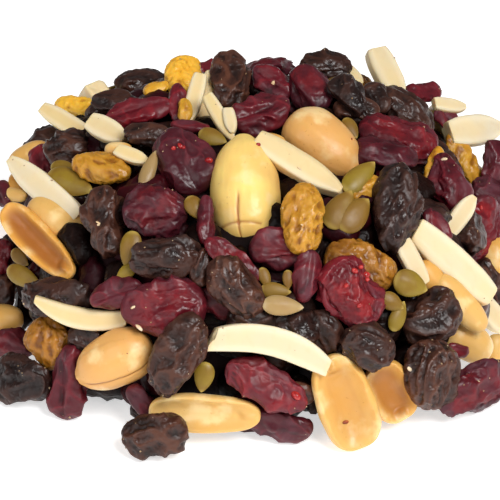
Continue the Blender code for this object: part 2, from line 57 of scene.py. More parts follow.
# How deep the core lies inside that outline, its points round and up, its lumps' height and size, and
# how far above the ground it ends.
CORE_DEPTH = 8.4
CORE_TURNS = 150
CORE_RINGS = 60
CORE_LUMP = 2.4
CORE_LUMP_SIZE = 6.0
CORE_CLEARANCE = 0.1

# How far the core's foot in front is drawn in, under the pieces that hide it, and up to what height.
CORE_UNDERCUT = 6.0
UNDERCUT_HEIGHT = 14.0

# Large numbers that scramble a whole-number corner into its random slope.
SLOPE_SCALE = 43758.5453
SLOPE_MIX = np.array([[127.1, 269.5, 113.5], [311.7, 183.3, 271.9], [74.7, 246.1, 124.6]])


def mound_ring(height, angle, depth):
    """Points of the outline drawn in by the depth: at each height the ground outline, a superellipse,
    shrinks by the crown's curve."""
    drawn = (1 - (height / (HEIGHT - depth)) ** CROWN) ** (1 / CROWN)
    front = np.sin(angle) < 0
    corner = np.where(front, FRONT_CORNER, BACK_CORNER)
    reach = np.where(front, FRONT_REACH, BACK_REACH) - depth
    side = np.sign(np.cos(angle)) * abs(np.cos(angle)) ** (2 / corner)
    along = np.sign(np.sin(angle)) * abs(np.sin(angle)) ** (2 / corner)
    x = (HALF_WIDTH - depth) * drawn * side
    return np.stack(np.broadcast_arrays(x, reach * drawn * along, height), axis=-1)


def rumple(points, seed):
    """Smooth random heights from about -1 to 1: each whole-number corner round a point has its own
    random slope, and the eight slopes' heights there are blended by 6t^5 - 15t^4 + 10t^3."""
    low = np.floor(points)
    part = points - low
    ease = part**3 * (part * (part * 6 - 15) + 10)
    height = np.zeros(points.shape[:-1])
    for corner in np.ndindex(2, 2, 2):
        slope = np.sin((low + corner) @ SLOPE_MIX + seed) * SLOPE_SCALE
        slope = (slope - np.floor(slope)) * 2 - 1
        share = np.prod(np.where(corner, ease, 1 - ease), axis=-1)
        height += share * ((part - corner) * slope).sum(axis=-1)
    return height * 1.6


def ball_grid(around, along):
    """A closed ball's parameters, point by point: s from tail to head as minus the cosine of even
    steps, a round it, then the two poles. The triangles run between the rings and fan at the poles."""
    s = np.append(np.repeat(-np.cos(pi * np.arange(1, along) / along), around), [-1.0, 1.0])
    a = np.append(np.tile(2 * pi * np.arange(around) / around, along - 1), [0.0, 0.0])
    at = np.arange((along - 1) * around).reshape(along - 1, around)
    beside = np.roll(at, -1, axis=1)
    tail = np.full(around, (along - 1) * around)
    faces = np.concatenate([
        np.stack([at[:-1], beside[:-1], beside[1:]], axis=-1).reshape(-1, 3),
        np.stack([at[:-1], beside[1:], at[1:]], axis=-1).reshape(-1, 3),
        np.stack([at[0], tail, beside[0]], axis=-1),
        np.stack([at[-1], beside[-1], tail + 1], axis=-1),
    ])
    return s, a, faces


def new_piece(name, points, faces, marks, material):
    """Puts points in millimetres, triangles and the named value at each point into one smooth mesh."""
    mesh = bpy.data.meshes.new(name)
    mesh.vertices.add(len(points))
    mesh.vertices.foreach_set("co", (points * MM).astype(np.float32).ravel())
    mesh.loops.add(faces.size)
    mesh.loops.foreach_set("vertex_index", faces.astype(np.int32).ravel())
    mesh.polygons.add(len(faces))
    mesh.polygons.foreach_set("loop_start", np.arange(0, faces.size, 3, dtype=np.int32))
    mesh.polygons.foreach_set("use_smooth", np.ones(len(faces), bool))
    mesh.update(calc_edges=True)
    for mark, values in marks.items():
        attribute = mesh.attributes.new(mark, "FLOAT", "POINT")
        attribute.data.foreach_set("value", values.astype(np.float32).ravel())
    mesh.materials.append(material)
    piece = bpy.data.objects.new(name, mesh)
    bpy.context.scene.collection.objects.link(piece)
    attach(piece, "root")
    return piece


def new_finish(name):
    """A material with its node tree and its shader."""
    material = bpy.data.materials.new(name)
    material.use_nodes = True
    return material, material.node_tree, material.node_tree.nodes["Principled BSDF"]


def feed(tree, socket, value):
    """Gives an input a value, or wires an output to it."""
    if isinstance(value, bpy.types.NodeSocket):
        tree.links.new(value, socket)
    else:
        socket.default_value = value


def mottle(tree, size, detail=3.0, stretch=(1, 1, 1), kind="FBM"):
    """Random cloudiness of 0 to 1 whose patches are about the given size in millimetres, or with
    another kind of noise a net of ridges."""
    place = tree.nodes.new("ShaderNodeTexCoord")
    turned = tree.nodes.new("ShaderNodeMapping")
    tree.links.new(place.outputs["Object"], turned.inputs["Vector"])
    turned.inputs["Scale"].default_value = stretch
    cloud = tree.nodes.new("ShaderNodeTexNoise")
    cloud.noise_type = kind
    tree.links.new(turned.outputs["Vector"], cloud.inputs["Vector"])
    cloud.inputs["Scale"].default_value = 0.5 / (size * MM)
    cloud.inputs["Detail"].default_value = detail
    return cloud.outputs["Fac"]


def mark_value(tree, name):
    """What the mesh itself says at each point, such as how deep in a crease it lies."""
    node = tree.nodes.new("ShaderNodeAttribute")
    node.attribute_name = name
    return node.outputs["Fac"]


def ranged(tree, value, low, high, first=0.0, last=1.0):
    """Stretches a value so that low to high becomes first to last, with soft ends."""
    node = tree.nodes.new("ShaderNodeMapRange")
    node.interpolation_type = "SMOOTHSTEP"
    for name, number in zip(("From Min", "From Max", "To Min", "To Max"), (low, high, first, last)):
        node.inputs[name].default_value = number
    feed(tree, node.inputs["Value"], value)
    return node.outputs["Result"]


def blended(tree, share, first, second):
    """A colour between two others."""
    node = tree.nodes.new("ShaderNodeMix")
    node.data_type = "RGBA"
    feed(tree, node.inputs[0], share)
    for socket, colour in ((node.inputs[6], first), (node.inputs[7], second)):
        feed(tree, socket, colour if isinstance(colour, bpy.types.NodeSocket) else (*colour, 1))
    return node.outputs[2]


def clouded(tree, skin, colour, size, low, high, most=1.0, detail=3.0, stretch=(1, 1, 1)):
    """The skin under clouds of another colour, which come in as the cloudiness goes from low to high
    and hide the given share of the skin at most."""
    share = ranged(tree, mottle(tree, size, detail, stretch), low, high, 0.0, most)
    return blended(tree, share, skin, colour)


def roughened(tree, shader, height, depth, strength=0.6):
    """Fine relief on the shader from a height, as deep as the given millimetres."""
    node = tree.nodes.new("ShaderNodeBump")
    node.inputs["Strength"].default_value = strength
    node.inputs["Distance"].default_value = depth * MM
    feed(tree, node.inputs["Height"], height)
    tree.links.new(node.outputs["Normal"], shader.inputs["Normal"])


def core_finish():
    """Dried fruit painted near-black as shade, with dull red and brown patches."""
    material, tree, shader = new_finish("Buried fruit")
    # Painted shade: the core's near-black stands for the darkness deep inside the heap.
    skin = clouded(tree, (0.006, 0.002, 0.002), (0.016, 0.004, 0.005), 6.0, 0.4, 0.6)
    feed(tree, shader.inputs["Base Color"], skin)
    shader.inputs["Roughness"].default_value = 0.7
    shader.inputs["Specular IOR Level"].default_value = 0.1
    roughened(tree, shader, mottle(tree, 0.8), 0.3)
    return material


core_s, core_a, core_faces = ball_grid(CORE_TURNS, CORE_RINGS)
core_top = mound_ring((HEIGHT - CORE_DEPTH) * np.clip(core_s, 0, 1), core_a, CORE_DEPTH)
core_rim = mound_ring(np.zeros_like(core_s), core_a, CORE_DEPTH) * np.sqrt(1 - core_s**2)[:, None]
core_points = np.where(core_s[:, None] > 0, core_top, core_rim)
core_lumps = rumple(core_points / CORE_LUMP_SIZE, 3.0) * CORE_LUMP
core_points *= 1 + (core_lumps / HALF_WIDTH)[:, None]
core_points[:, 2] = np.maximum(core_points[:, 2], CORE_CLEARANCE)
low_part = np.clip(1 - core_points[:, 2] / UNDERCUT_HEIGHT, 0, 1)
core_points[:, 1] += CORE_UNDERCUT * low_part * np.clip(-core_points[:, 1] / FRONT_REACH, 0, 1)
core = new_piece("core", core_points, core_faces, {}, core_finish())
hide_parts("trail_mix_heap")


# How the pieces lie. A real heap is tipped out and settles. In front each piece shifts along its line
# of sight until it lies in front of those it covers. The sides and the back get the same mix in a
# spiral from the ground up, and dark fruit fills the gaps below.

# How far inside the heap's outline the pieces' middles lie, at least where they are seen, and on the
# sides and the back.
LEAST_DEPTH = 3.8
BED_DEPTH = 4.0

# The view: degrees above level, how far off the eye is, how high the point that it looks at is, and
# how far aside a piece is still in view.
VIEW_RISE = 32.0
VIEW_DISTANCE = 450.0
VIEW_HEIGHT = 12.0
VIEW_SIDE = 41.7

# How far pieces press into each other, and how far above the ground the lowest ones end.
PRESS = 1.4
FOOT_GAP = 0.08

# How thick each kind is, as a share of its width.
THICKNESS = {
    "peanut": 0.9, "half": 0.62, "almond": 0.6, "raisin": 0.72,
    "cranberry": 0.66, "golden": 0.66, "pepita": 0.42, "seed": 0.6,
}

# One piece: millimetres right of and above the middle of the view, length and width as seen,
# and the way its head points, in degrees clockwise from the right. Bend bows it sideways, by so
# many millimetres at its ends.
Piece = namedtuple("Piece", "kind across up length width turn bend", defaults=(0.0,))

# The far row along the top, then forwards, so that what covers a piece comes after it.
TOP_ROW = [
    ("golden", -15.7, 27.0, 4.5, 2.8, -20),
    ("golden", -11.2, 28.7, 7.3, 6.3, 100),
    ("almond", 22.7, 29.5, 8.5, 4.4, 65),
    ("almond", 17.3, 29.0, 4.0, 2.2, 50),
    ("golden", -29.3, 23.8, 6.8, 4.4, 10),
    ("raisin", 12.7, 30.7, 8.8, 5.8, 10),
    ("almond", -7.0, 25.0, 9.5, 3.5, 100),
    ("almond", -9.2, 25.3, 8.5, 2.8, 103),
    ("raisin", -3.2, 28.3, 10.0, 7.0, 88),
    ("golden", -10.8, 23.3, 4.0, 2.6, 90),
    ("almond", -3.3, 21.5, 4.5, 2.2, 80),
    ("almond", -5.0, 22.0, 9.0, 2.5, 60),
    ("cranberry", 3.5, 27.7, 7.8, 5.6, 35),
    ("raisin", 17.7, 23.0, 8.0, 5.0, 10),
    ("cranberry", 10.2, 26.8, 8.2, 7.2, 70),
    ("raisin", 21.2, 25.2, 5.8, 4.6, 70),
    ("raisin", 16.7, 25.7, 7.6, 6.0, 60),
    ("cranberry", 27.7, 25.8, 8.8, 3.9, -15),
    ("almond", 33.2, 24.0, 5.5, 2.6, 5),
    ("cranberry", 32.8, 21.3, 6.2, 4.4, 55),
    ("cranberry", 2.0, 22.5, 10.2, 7.6, -20),
]
LEFT_SHOULDER = [
    ("almond", -30.3, 21.0, 10.4, 3.2, 32),
    ("raisin", -22.5, 24.7, 8.0, 4.8, 5),
    ("almond", -23.7, 19.8, 7.0, 4.0, 28),
    ("cranberry", -10.0, 20.7, 6.6, 2.4, 5),
    ("cranberry", -18.7, 23.0, 12.0, 5.4, 165),
    ("cranberry", -12.2, 24.5, 6.8, 3.2, 92),
    ("pepita", -6.2, 18.8, 5.0, 3.2, 20),
    ("raisin", -17.2, 19.0, 8.0, 4.6, 5),
    ("raisin", -30.7, 17.0, 7.8, 7.0, -10),
    ("half", -22.0, 16.8, 4.6, 2.8, 0),
    ("almond", -19.7, 15.7, 6.0, 2.6, 22),
    ("half", -37.0, 15.3, 7.4, 5.6, -30),
    ("cranberry", -34.8, 14.8, 5.6, 4.4, 80),
    ("pepita", -31.0, 13.7, 4.6, 2.6, 10),
    ("golden", -24.8, 13.8, 10.0, 5.8, 15),
    ("pepita", -30.0, 11.2, 8.4, 4.8, 20),
]
RIGHT_SHOULDER = [
    ("cranberry", 41.0, 14.2, 8.4, 6.0, 90),
    ("cranberry", 40.3, 9.7, 6.8, 6.0, 0),
    ("almond", 37.2, 19.8, 9.4, 5.2, -8),
    ("golden", 35.8, 15.0, 10.2, 4.6, 60),
    ("golden", 30.5, 13.5, 8.0, 3.0, 105),
    ("cranberry", 33.2, 11.3, 10.0, 7.2, 72),
    ("cranberry", 31.2, 4.0, 6.6, 3.8, 50),
    ("pepita", 16.8, 20.3, 4.0, 2.5, 60),
    ("cranberry", 24.8, 18.7, 14.0, 10.2, 22),
    ("cranberry", 38.0, 3.0, 11.4, 8.6, -60),
    ("almond", 35.0, 5.8, 7.6, 3.2, -53),
]
MIDDLE = [
    ("pepita", -9.2, 7.0, 4.5, 3.0, 60),
    ("cranberry", -7.3, 5.0, 8.4, 3.2, 92),
    ("cranberry", -15.8, 6.3, 11.0, 9.6, 0),
    ("cranberry", -11.0, 14.5, 12.0, 10.8, 60),
    ("seed", -16.8, 13.5, 6.8, 2.6, -70),
    ("cranberry", 5.0, 0.0, 10.6, 7.4, 0),
    ("golden", 19.3, 10.3, 6.0, 4.4, -30),
    ("pepita", 17.3, 6.0, 7.2, 5.2, -45),
    ("pepita", 15.0, 6.8, 7.4, 4.6, -58),
    ("pepita", 18.3, 12.2, 7.2, 4.0, -45),
    ("half", 3.7, 18.0, 4.6, 3.4, 10),
    ("peanut", 12.2, 17.5, 14.4, 10.2, 40),
    ("almond", 8.3, 14.0, 17.0, 4.8, 32),
    ("golden", 8.7, 5.2, 12.2, 7.5, 94),
    ("peanut", -0.8, 10.0, 18.6, 11.8, -92),
]
LEFT_SIDE = [
    ("cranberry", -41.0, 9.2, 4.4, 3.8, 60),
    ("half", -39.5, 9.2, 4.4, 2.4, 10),
    ("raisin", -39.0, 7.8, 4.0, 2.6, 0),
    ("pepita", -20.0, 0.0, 6.5, 3.6, 100),
    ("pepita", -20.7, -3.7, 3.6, 2.4, 150),
    ("half", -29.7, 3.2, 18.0, 6.8, 33),
    ("raisin", -24.3, 4.7, 12.2, 8.0, 82),
    ("cranberry", -41.3, -1.3, 6.6, 5.0, 90),
    ("pepita", -38.3, -1.3, 3.8, 2.4, 40),
    ("pepita", -37.7, -4.5, 6.4, 3.4, 25),
    ("half", -35.0, 1.3, 16.5, 6.0, 44),
    ("almond", -34.2, 10.0, 15.6, 4.6, 41),
    ("raisin", -41.3, -7.2, 6.6, 5.6, 90),
    ("raisin", -32.0, -8.0, 12.6, 7.4, -2),
    ("half", -42.3, -12.3, 8.6, 5.2, -4),
    ("cranberry", -39.7, -15.8, 7.6, 5.6, 10),
    ("raisin", -27.3, -15.0, 6.6, 5.6, 20),
    ("golden", -33.2, -15.3, 9.0, 7.8, 60),
    ("almond", -28.3, -10.5, 16.4, 3.6, 11, 0.8),
]
RIGHT_SIDE = [
    ("raisin", 40.0, -5.5, 8.4, 6.8, 60),
    ("half", 30.6, -5.0, 7.5, 4.6, 50),
    ("half", 35.3, -8.9, 12.0, 5.2, 45),
    ("almond", 33.7, -2.3, 17.6, 5.4, 41),
    ("almond", 26.8, -1.6, 9.5, 3.4, 62),
    ("golden", 18.3, -2.7, 12.6, 9.2, 15),
    ("raisin", 24.7, 7.0, 15.0, 9.0, -84),
    ("cranberry", 9.3, -4.3, 9.0, 5.0, 100),
    ("pepita", 23.7, -8.7, 4.4, 3.0, 30),
    ("pepita", 24.7, -11.0, 5.4, 2.8, -68),
    ("pepita", 26.8, -5.7, 6.0, 4.6, 20),
    ("half", 41.3, -16.8, 5.0, 3.6, 90),
    ("half", 36.7, -15.3, 8.6, 6.6, 30),
    ("almond", 40.0, -11.3, 7.6, 3.8, 48),
    ("cranberry", 34.7, -16.8, 3.8, 2.4, 15),
    ("raisin", 30.3, -11.5, 10.6, 9.6, -30),
    ("raisin", 12.2, -13.7, 8.0, 6.6, 60),
    ("cranberry", 16.7, -7.2, 12.8, 11.2, 60),
]
FRONT = [
    ("pepita", 2.5, -4.7, 3.8, 2.0, 70),
    ("pepita", 6.3, -5.0, 3.4, 1.8, 90),
    ("pepita", 4.3, -6.8, 5.2, 2.8, 5),
    ("raisin", -8.2, -3.0, 6.8, 4.6, 95),
    ("cranberry", -5.8, -8.8, 7.0, 4.6, 30),
    ("cranberry", -2.7, -1.7, 11.6, 4.2, 36),
    ("raisin", 0.3, -12.0, 8.6, 6.6, 10),
    ("raisin", 8.0, -12.7, 8.6, 7.0, 20),
    ("seed", 5.5, -9.3, 7.0, 3.4, 5),
    ("raisin", -2.5, -6.3, 12.0, 7.8, 48),
    ("raisin", -14.2, -1.3, 12.2, 7.4, -5),
    ("cranberry", -22.3, -7.2, 9.2, 5.8, -18),
    ("cranberry", -18.0, -25.0, 6.4, 4.4, 40),
    ("cranberry", -30.2, -22.5, 13.0, 7.6, 93),
    ("raisin", -38.3, -21.5, 10.0, 8.2, 5),
    ("peanut", -22.7, -18.3, 13.8, 9.4, 155),
    ("cranberry", -14.2, -9.8, 14.4, 11.0, -15),
    ("raisin", -12.0, -17.5, 15.0, 8.6, -62),
    ("pepita", -7.7, -21.2, 5.2, 3.4, 100),
    ("cranberry", 4.2, -29.0, 12.8, 6.0, 12),
    ("raisin", 8.7, -23.8, 4.6, 3.6, 30),
    ("cranberry", 2.8, -22.5, 15.0, 7.8, 28),
    ("half", -7.5, -27.0, 18.6, 6.8, 2),
    ("raisin", -15.8, -31.0, 11.0, 7.6, -14),
    ("almond", 3.3, -16.2, 21.0, 5.0, 13, -1.1),
    ("cranberry", 37.3, -23.3, 13.4, 8.8, -20),
    ("half", 23.0, -23.5, 10.4, 8.6, 60),
    ("raisin", 19.7, -15.8, 9.2, 8.2, 20),
    ("half", 15.7, -25.2, 16.4, 10.0, 250),
    ("raisin", 30.2, -20.8, 11.6, 10.2, 95),
]
ROWS = TOP_ROW + LEFT_SHOULDER + RIGHT_SHOULDER + MIDDLE + LEFT_SIDE + RIGHT_SIDE + FRONT
SEEN = [Piece(*row) for row in ROWS]

# What the unseen pieces are drawn from, with the usual length and width of each kind.
DARK_MIX = ["raisin", "cranberry", "raisin"]
MIX = [
    "raisin", "cranberry", "half", "raisin", "almond",
    "cranberry", "pepita", "raisin", "golden", "peanut",
]
USUAL_SIZE = {
    "peanut": (15.5, 10.5), "half": (15.0, 9.0), "almond": (14.5, 4.8), "raisin": (11.0, 8.2),
    "cranberry": (11.5, 8.6), "golden": (10.5, 8.0), "pepita": (9.0, 5.4),
}

# The spiral's points and its turn from one to the next, the sizes tried at each, from where a piece
# is dropped, how far it may ride up on its neighbours, how much lower the gap pieces lie, and the
# share of a piece that must be out of the viewer's sight.
SPIRAL_POINTS = 260
SPIRAL_STEP = pi * (3 - sqrt(5))
TRIES = (1.1, 0.95, 0.8)
DROP = 40
MOST_RISE = 2.0
GAP_DEPTH = 2.6
HIDDEN_SHARE = 0.6

# The fruit below the gaps: how many places are tried, how deep it may lie, its size beside the usual,
# how far it may sink into what is laid already, and how much deeper it then settles.
BELOW_POINTS = 720
BELOW_DEPTHS = (6.2, 7.4, 8.6)
BELOW_SIZE = 0.86
BELOW_PRESS = 2.1
BELOW_SETTLE = 0.4

# At the foot in front, where the heap ends on the table, only what others hide is laid: up to what
# height, and how much of a piece they hide.
FOOT_HEIGHT = 12.0
FOOT_HIDDEN = 0.97
BELOW_HIDDEN = 0.85

# How far along a line of sight the heap's skin is looked for, either way. Then how the seen pieces
# settle: the rounds, how much of its shift each keeps, and how much of a clash is mended each time.
SEARCH = 70
SETTLING_ROUNDS = 400
PULL_BACK = 0.985
SHARE_OUT = 0.3


def unit(vector):
    """The vector made 1 long."""
    return vector / np.linalg.norm(vector)


def mound_level(points, depth):
    """Under 1 inside the heap's outline drawn in by the depth, 1 on it and over 1 outside."""
    x, y, z = np.moveaxis(points, -1, 0)
    corner = np.where(y < 0, FRONT_CORNER, BACK_CORNER)
    reach = np.where(y < 0, FRONT_REACH, BACK_REACH) - depth
    flat = np.abs(x / (HALF_WIDTH - depth)) ** corner + np.abs(y / reach) ** corner
    return flat ** (CROWN / corner) + (np.maximum(z, 0) / (HEIGHT - depth)) ** CROWN


def mound_normal(point, depth):
    """The way straight out of the heap at a point on it, from small steps each way."""
    steps = np.eye(3) * 0.05
    ahead = mound_level(point + steps, depth)
    behind = mound_level(point - steps, depth)
    return unit(ahead - behind)


TO_VIEWER = np.array([0, -cos(radians(VIEW_RISE)), sin(radians(VIEW_RISE))])
VIEW_UP = np.array([0, sin(radians(VIEW_RISE)), cos(radians(VIEW_RISE))])
VIEW_RIGHT = np.array([1.0, 0, 0])
EYE = np.array([0, 0, VIEW_HEIGHT]) + TO_VIEWER * VIEW_DISTANCE


def extent(kind, length, width):
    """A piece's length, width and thickness."""
    return np.array([length, width, width * THICKNESS[kind]])


def axes_from(head, facing):
    """A piece's axes: its head, its side, and its face, turned square to the head."""
    face = unit(facing - (facing @ head) * head)
    return head, np.cross(face, head), face


def lying(out, turn, tip):
    """The axes of a piece that lies on the heap: its face looks out of it, and its head is turned
    round the way out by the angle and then tipped."""
    aside = unit(np.cross(out, [0.3, 0.2, 1.0]))
    return axes_from(unit(aside * cos(turn) + np.cross(out, aside) * sin(turn) + tip), out)


def sight(points, balls, way):
    """From each point, how far along the way each ball lies, and the square of how far aside: the
    distance squared less that along the way squared."""
    apart = balls[None] - points[:, None]
    ahead = apart @ way
    return ahead, (apart**2).sum(axis=-1) - ahead**2


def keep_above(middle, offsets, radii):
    """Lifts a middle until none of its balls is underground."""
    middle[2] += max(0, (radii - middle[2] - offsets[:, 2]).max())


def beads(size, head, side):
    """Balls that stand for a piece while it is laid: five along it by three across."""
    length, width, thick = size
    along = np.array([-0.8, -0.42, 0, 0.42, 0.8])
    swell = np.sqrt(1 - along**2)
    across = np.array([-1, 0, 1])
    offsets = (
        along[:, None, None] * head * (length - thick * 0.3) / 2
        + (across[:, None] * swell[:, None, None] * side) * max(width - thick, 0) / 2
    )
    radii = np.broadcast_to((swell * thick / 2)[:, None], offsets.shape[:2])
    return offsets.reshape(-1, 3), radii.reshape(-1)


def heading(turn, facing):
    """The head's direction: its angle in the view, tipped towards the viewer or away so that it
    lies square to the facing, but never by much more than 40 degrees."""
    flat = VIEW_RIGHT * cos(radians(turn)) - VIEW_UP * sin(radians(turn))
    tip = -(flat @ facing) / (TO_VIEWER @ facing)
    return flat + np.clip(tip, -0.9, 0.9) * TO_VIEWER


def aim(piece):
    """A seen piece on its line of sight, just inside the heap's outline, with its axes and balls. Its
    face looks about half way between the viewer and straight out of the heap, and it is made larger
    by how far off it is. The last number is how far it can go before it meets the ground."""
    ray = unit(VIEW_RIGHT * piece.across + VIEW_UP * piece.up - TO_VIEWER * VIEW_DISTANCE)
    steps = np.arange(VIEW_DISTANCE - SEARCH, VIEW_DISTANCE + SEARCH, 0.25)
    depth = max(LEAST_DEPTH, 1.5 + piece.width * THICKNESS[piece.kind] / 2)
    levels = mound_level(EYE + steps[:, None] * ray, depth)
    inside = np.flatnonzero(levels < 1)
    reach = steps[inside[0] if len(inside) else np.argmin(levels)]
    slope = mound_normal(EYE + reach * ray, depth)
    facing = unit(0.55 * TO_VIEWER + 0.45 * slope)
    slanted = heading(piece.turn, facing)
    axes = axes_from(unit(slanted), facing)
    width = piece.width * reach / VIEW_DISTANCE
    length = piece.length * reach / VIEW_DISTANCE * np.linalg.norm(slanted)
    size = extent(piece.kind, length, width)
    offsets, radii = beads(size, *axes[:2])
    ground = ((EYE[2] + offsets[:, 2] - radii) / -ray[2]).min() - reach
    return EYE + reach * ray, ray, axes, size, offsets, radii, ground


def needed_gaps(aimed):
    """For each pair, how much deeper the first must lie than the second so that they only touch: the
    most, over their balls, of the root of reach squared less aside squared, less how far the second
    is nearer already."""
    count = len(aimed)
    gaps = np.full((count, count), -np.inf)
    balls = np.array([middle + offsets for middle, _, _, _, offsets, _, _ in aimed])
    radii = np.array([piece[5] for piece in aimed])
    for behind in range(count):
        for before in range(behind + 1, count):
            nearer, aside = sight(balls[behind], balls[before], TO_VIEWER)
            reach = np.maximum(radii[behind][:, None] + radii[before][None] - PRESS, 0) ** 2
            if (aside < reach).any():
                deeper = np.sqrt(np.maximum(reach - aside, 0)) - nearer
                gaps[behind, before] = deeper[aside < reach].max()
    return gaps


def lay_seen(pieces):
    """Shifts the seen pieces along their lines of sight, the covered ones in and the others out,
    in small equal shares until each lies in front of those it covers."""
    aimed = [aim(piece) for piece in pieces]
    gaps = needed_gaps(aimed)
    ground = np.array([piece[6] for piece in aimed])
    shift = np.zeros(len(aimed))
    for _ in range(SETTLING_ROUNDS):
        short = np.maximum(gaps - (shift[:, None] - shift[None]), 0)
        shift = PULL_BACK * shift + SHARE_OUT * (short.max(axis=1) - short.max(axis=0))
        shift = np.minimum(shift, ground)
    for before in range(1, len(aimed)):
        shift[before] = min(shift[before], (shift[:before] - gaps[:before, before]).min())
    return [
        (middle + shift[i] * ray, axes, size, offsets, radii)
        for i, (middle, ray, axes, size, offsets, radii, _) in enumerate(aimed)
    ]


def hidden_share(balls, laid):
    """How much of a piece the viewer can't see: behind the heap, behind a nearer piece or too far
    to one side."""
    towards = balls[:, None] + np.arange(10, SEARCH, 2.0)[None, :, None] * TO_VIEWER
    behind_heap = (mound_level(towards, 3.0) < 1).any(axis=1)
    nearer, aside = sight(balls, laid[:, :3], TO_VIEWER)
    covered = ((nearer > 0) & (aside < laid[None, :, 3] ** 2)).any(axis=1)
    from_eye = balls - EYE
    beyond = abs(from_eye @ VIEW_RIGHT / (from_eye @ TO_VIEWER)) * VIEW_DISTANCE > VIEW_SIDE
    return (behind_heap | covered | beyond).mean()


def clear_way(start, way, offsets, radii, laid, furthest):
    """How far a piece goes along the way before it meets a laid piece: for each pair of balls, how
    far ahead the other is less the root of reach squared less aside squared."""
    ahead, aside = sight(start + offsets, laid[:, :3], way)
    reach = np.maximum(radii[:, None] + laid[None, :, 3] - PRESS, 0) ** 2
    contact = ahead - np.sqrt(np.maximum(reach - aside, 0))
    return min(furthest, np.where(aside < reach, contact, np.inf).min())


def lay_unseen(number, laid):
    """Drops a piece straight onto the heap at a point of a spiral, where the viewer can't see it,
    or lays a dark one lower in a gap, trying smaller ones where others already lie."""
    rng = np.random.default_rng(1000 + number)
    height = (HEIGHT - BED_DEPTH) * (0.03 + 0.96 * ((number + 0.5) / SPIRAL_POINTS) ** 0.85)
    point = mound_ring(height, number * SPIRAL_STEP, BED_DEPTH)
    out = mound_normal(point, BED_DEPTH)
    start = point + out * DROP
    for grown in TRIES:
        turn = rng.uniform(0, 2 * pi)
        axes = lying(out, turn, out * rng.uniform(-0.2, 0.2))
        choices = ((rng.choice(MIX), 0.0), (rng.choice(DARK_MIX), GAP_DEPTH))
        for kind, depth in choices:
            size = extent(kind, *np.array(USUAL_SIZE[kind]) * grown)
            offsets, radii = beads(size, *axes[:2])
            stop = clear_way(start, -out, offsets, radii, laid, DROP + depth)
            middle = start - out * stop
            keep_above(middle, offsets, radii)
            hidden = hidden_share(middle + offsets, laid)
            at_foot = middle[1] < 0 and middle[2] < FOOT_HEIGHT
            fits = stop > DROP + depth - MOST_RISE and not (at_foot and hidden < FOOT_HIDDEN)
            if fits and (depth or hidden > HIDDEN_SHARE):
                return kind, middle, axes, size, offsets, radii
    return None


def lay_below(number, laid):
    """Sets dark fruit under the others at a point of a finer spiral, as high as it may lie without
    sinking far into what is there."""
    rng = np.random.default_rng(5000 + number)
    height = (HEIGHT - BELOW_DEPTHS[0]) * (0.04 + 0.95 * ((number + 0.5) / BELOW_POINTS) ** 0.85)
    angle = number * SPIRAL_STEP + 0.7
    kind = rng.choice(DARK_MIX)
    turn = rng.uniform(0, 2 * pi)
    size = extent(kind, *np.array(USUAL_SIZE[kind]) * BELOW_SIZE * rng.uniform(0.8, 1.15))
    for depth in BELOW_DEPTHS:
        point = mound_ring(min(height, (HEIGHT - depth) * 0.99), angle, depth)
        out = mound_normal(point, depth)
        axes = lying(out, turn, out * 0.3 * cos(3 * turn))
        offsets, radii = beads(size, *axes[:2])
        keep_above(point, offsets, radii)
        apart = np.linalg.norm(laid[None, :, :3] - (point + offsets)[:, None], axis=-1)
        sunk = (radii[:, None] + laid[None, :, 3] - apart).max()
        at_foot = point[1] < 0 and point[2] < FOOT_HEIGHT
        if sunk < BELOW_PRESS and not (at_foot and hidden_share(point + offsets, laid) < BELOW_HIDDEN):
            return kind, point - out * BELOW_SETTLE, axes, size, offsets, radii
    return None


# A piece in its place, and for a seen one the spot where it is seen.
Laid = namedtuple("Laid", "kind middle axes size bend layer number spot")


def lay_heap():
    """Every piece of the heap, in its place: the seen ones, the unseen ones and those below."""
    heap = []
    groups = []
    for piece, (middle, axes, size, offsets, radii) in zip(SEEN, lay_seen(SEEN)):
        spot = (piece.across, piece.up)
        heap.append(Laid(piece.kind, middle, axes, size, piece.bend, "seen", len(heap), spot))
        groups.append(np.column_stack([middle + offsets, radii]))
    rounds = ((lay_unseen, "unseen", SPIRAL_POINTS), (lay_below, "below", BELOW_POINTS))
    for lay, layer, count in rounds:
        for number in range(count):
            found = lay(number, np.concatenate(groups))
            if found:
                kind, middle, axes, size, offsets, radii = found
                heap.append(Laid(kind, middle, axes, size, 0.0, layer, len(heap), None))
                groups.append(np.column_stack([middle + offsets, radii]))
    return heap


HEAP = lay_heap()


def chosen(kind, *layers):
    """The laid pieces of a kind that lie in these layers."""
    return [piece for piece in HEAP if piece.kind == kind and piece.layer in layers]


# Dark raisins: whole grapes dried until the skin falls into long wandering ridges. They are laid as
# they fell, one closed skin each, and a little sugar leaves them half glossy.

# How far apart a skin's points lie, in millimetres, by how closely its layer is looked at.
GRID_STEPS = {"seen": 0.3, "unseen": 0.55, "below": 0.95}

# Pieces that lie a little further back than they were laid, in millimetres, by their place.
SET_BACK = {(8.0, -12.7): 1.6}

# How deep in the heap a skin's painted shade starts, by how much deeper it is darkest, how much
# painted shade the fruit below the gaps has from the start, and how little that fruit shines.
PAINTED_SHADE_FROM = 0.86
PAINTED_SHADE_OVER = 0.4
BELOW_PAINTED_SHADE = 0.45
BURIED_SHINE = 0.1

# The ridges' and wrinkles' spacing in millimetres, and their height beside the piece's girth.
RAISIN_RIDGE_SPACING = 2.1
RAISIN_RIDGE = 0.24
RAISIN_WRINKLE_SPACING = 1.0
RAISIN_WRINKLE = 0.13

# How brown a raisin is, from 0 for black to 1, by its place in the view. The others vary.
RAISIN_BROWN = {
    (-3.2, 28.3): 1.0, (-2.5, -6.3): 0.85, (-12.0, -17.5): 0.6, (-15.8, -31.0): 0.75, (30.2, -20.8): 0.8,
    (24.7, 7.0): 0.1, (-38.3, -21.5): 0.0, (-30.7, 17.0): 0.55, (-24.3, 4.7): 0.8, (30.3, -11.5): 0.45,
}


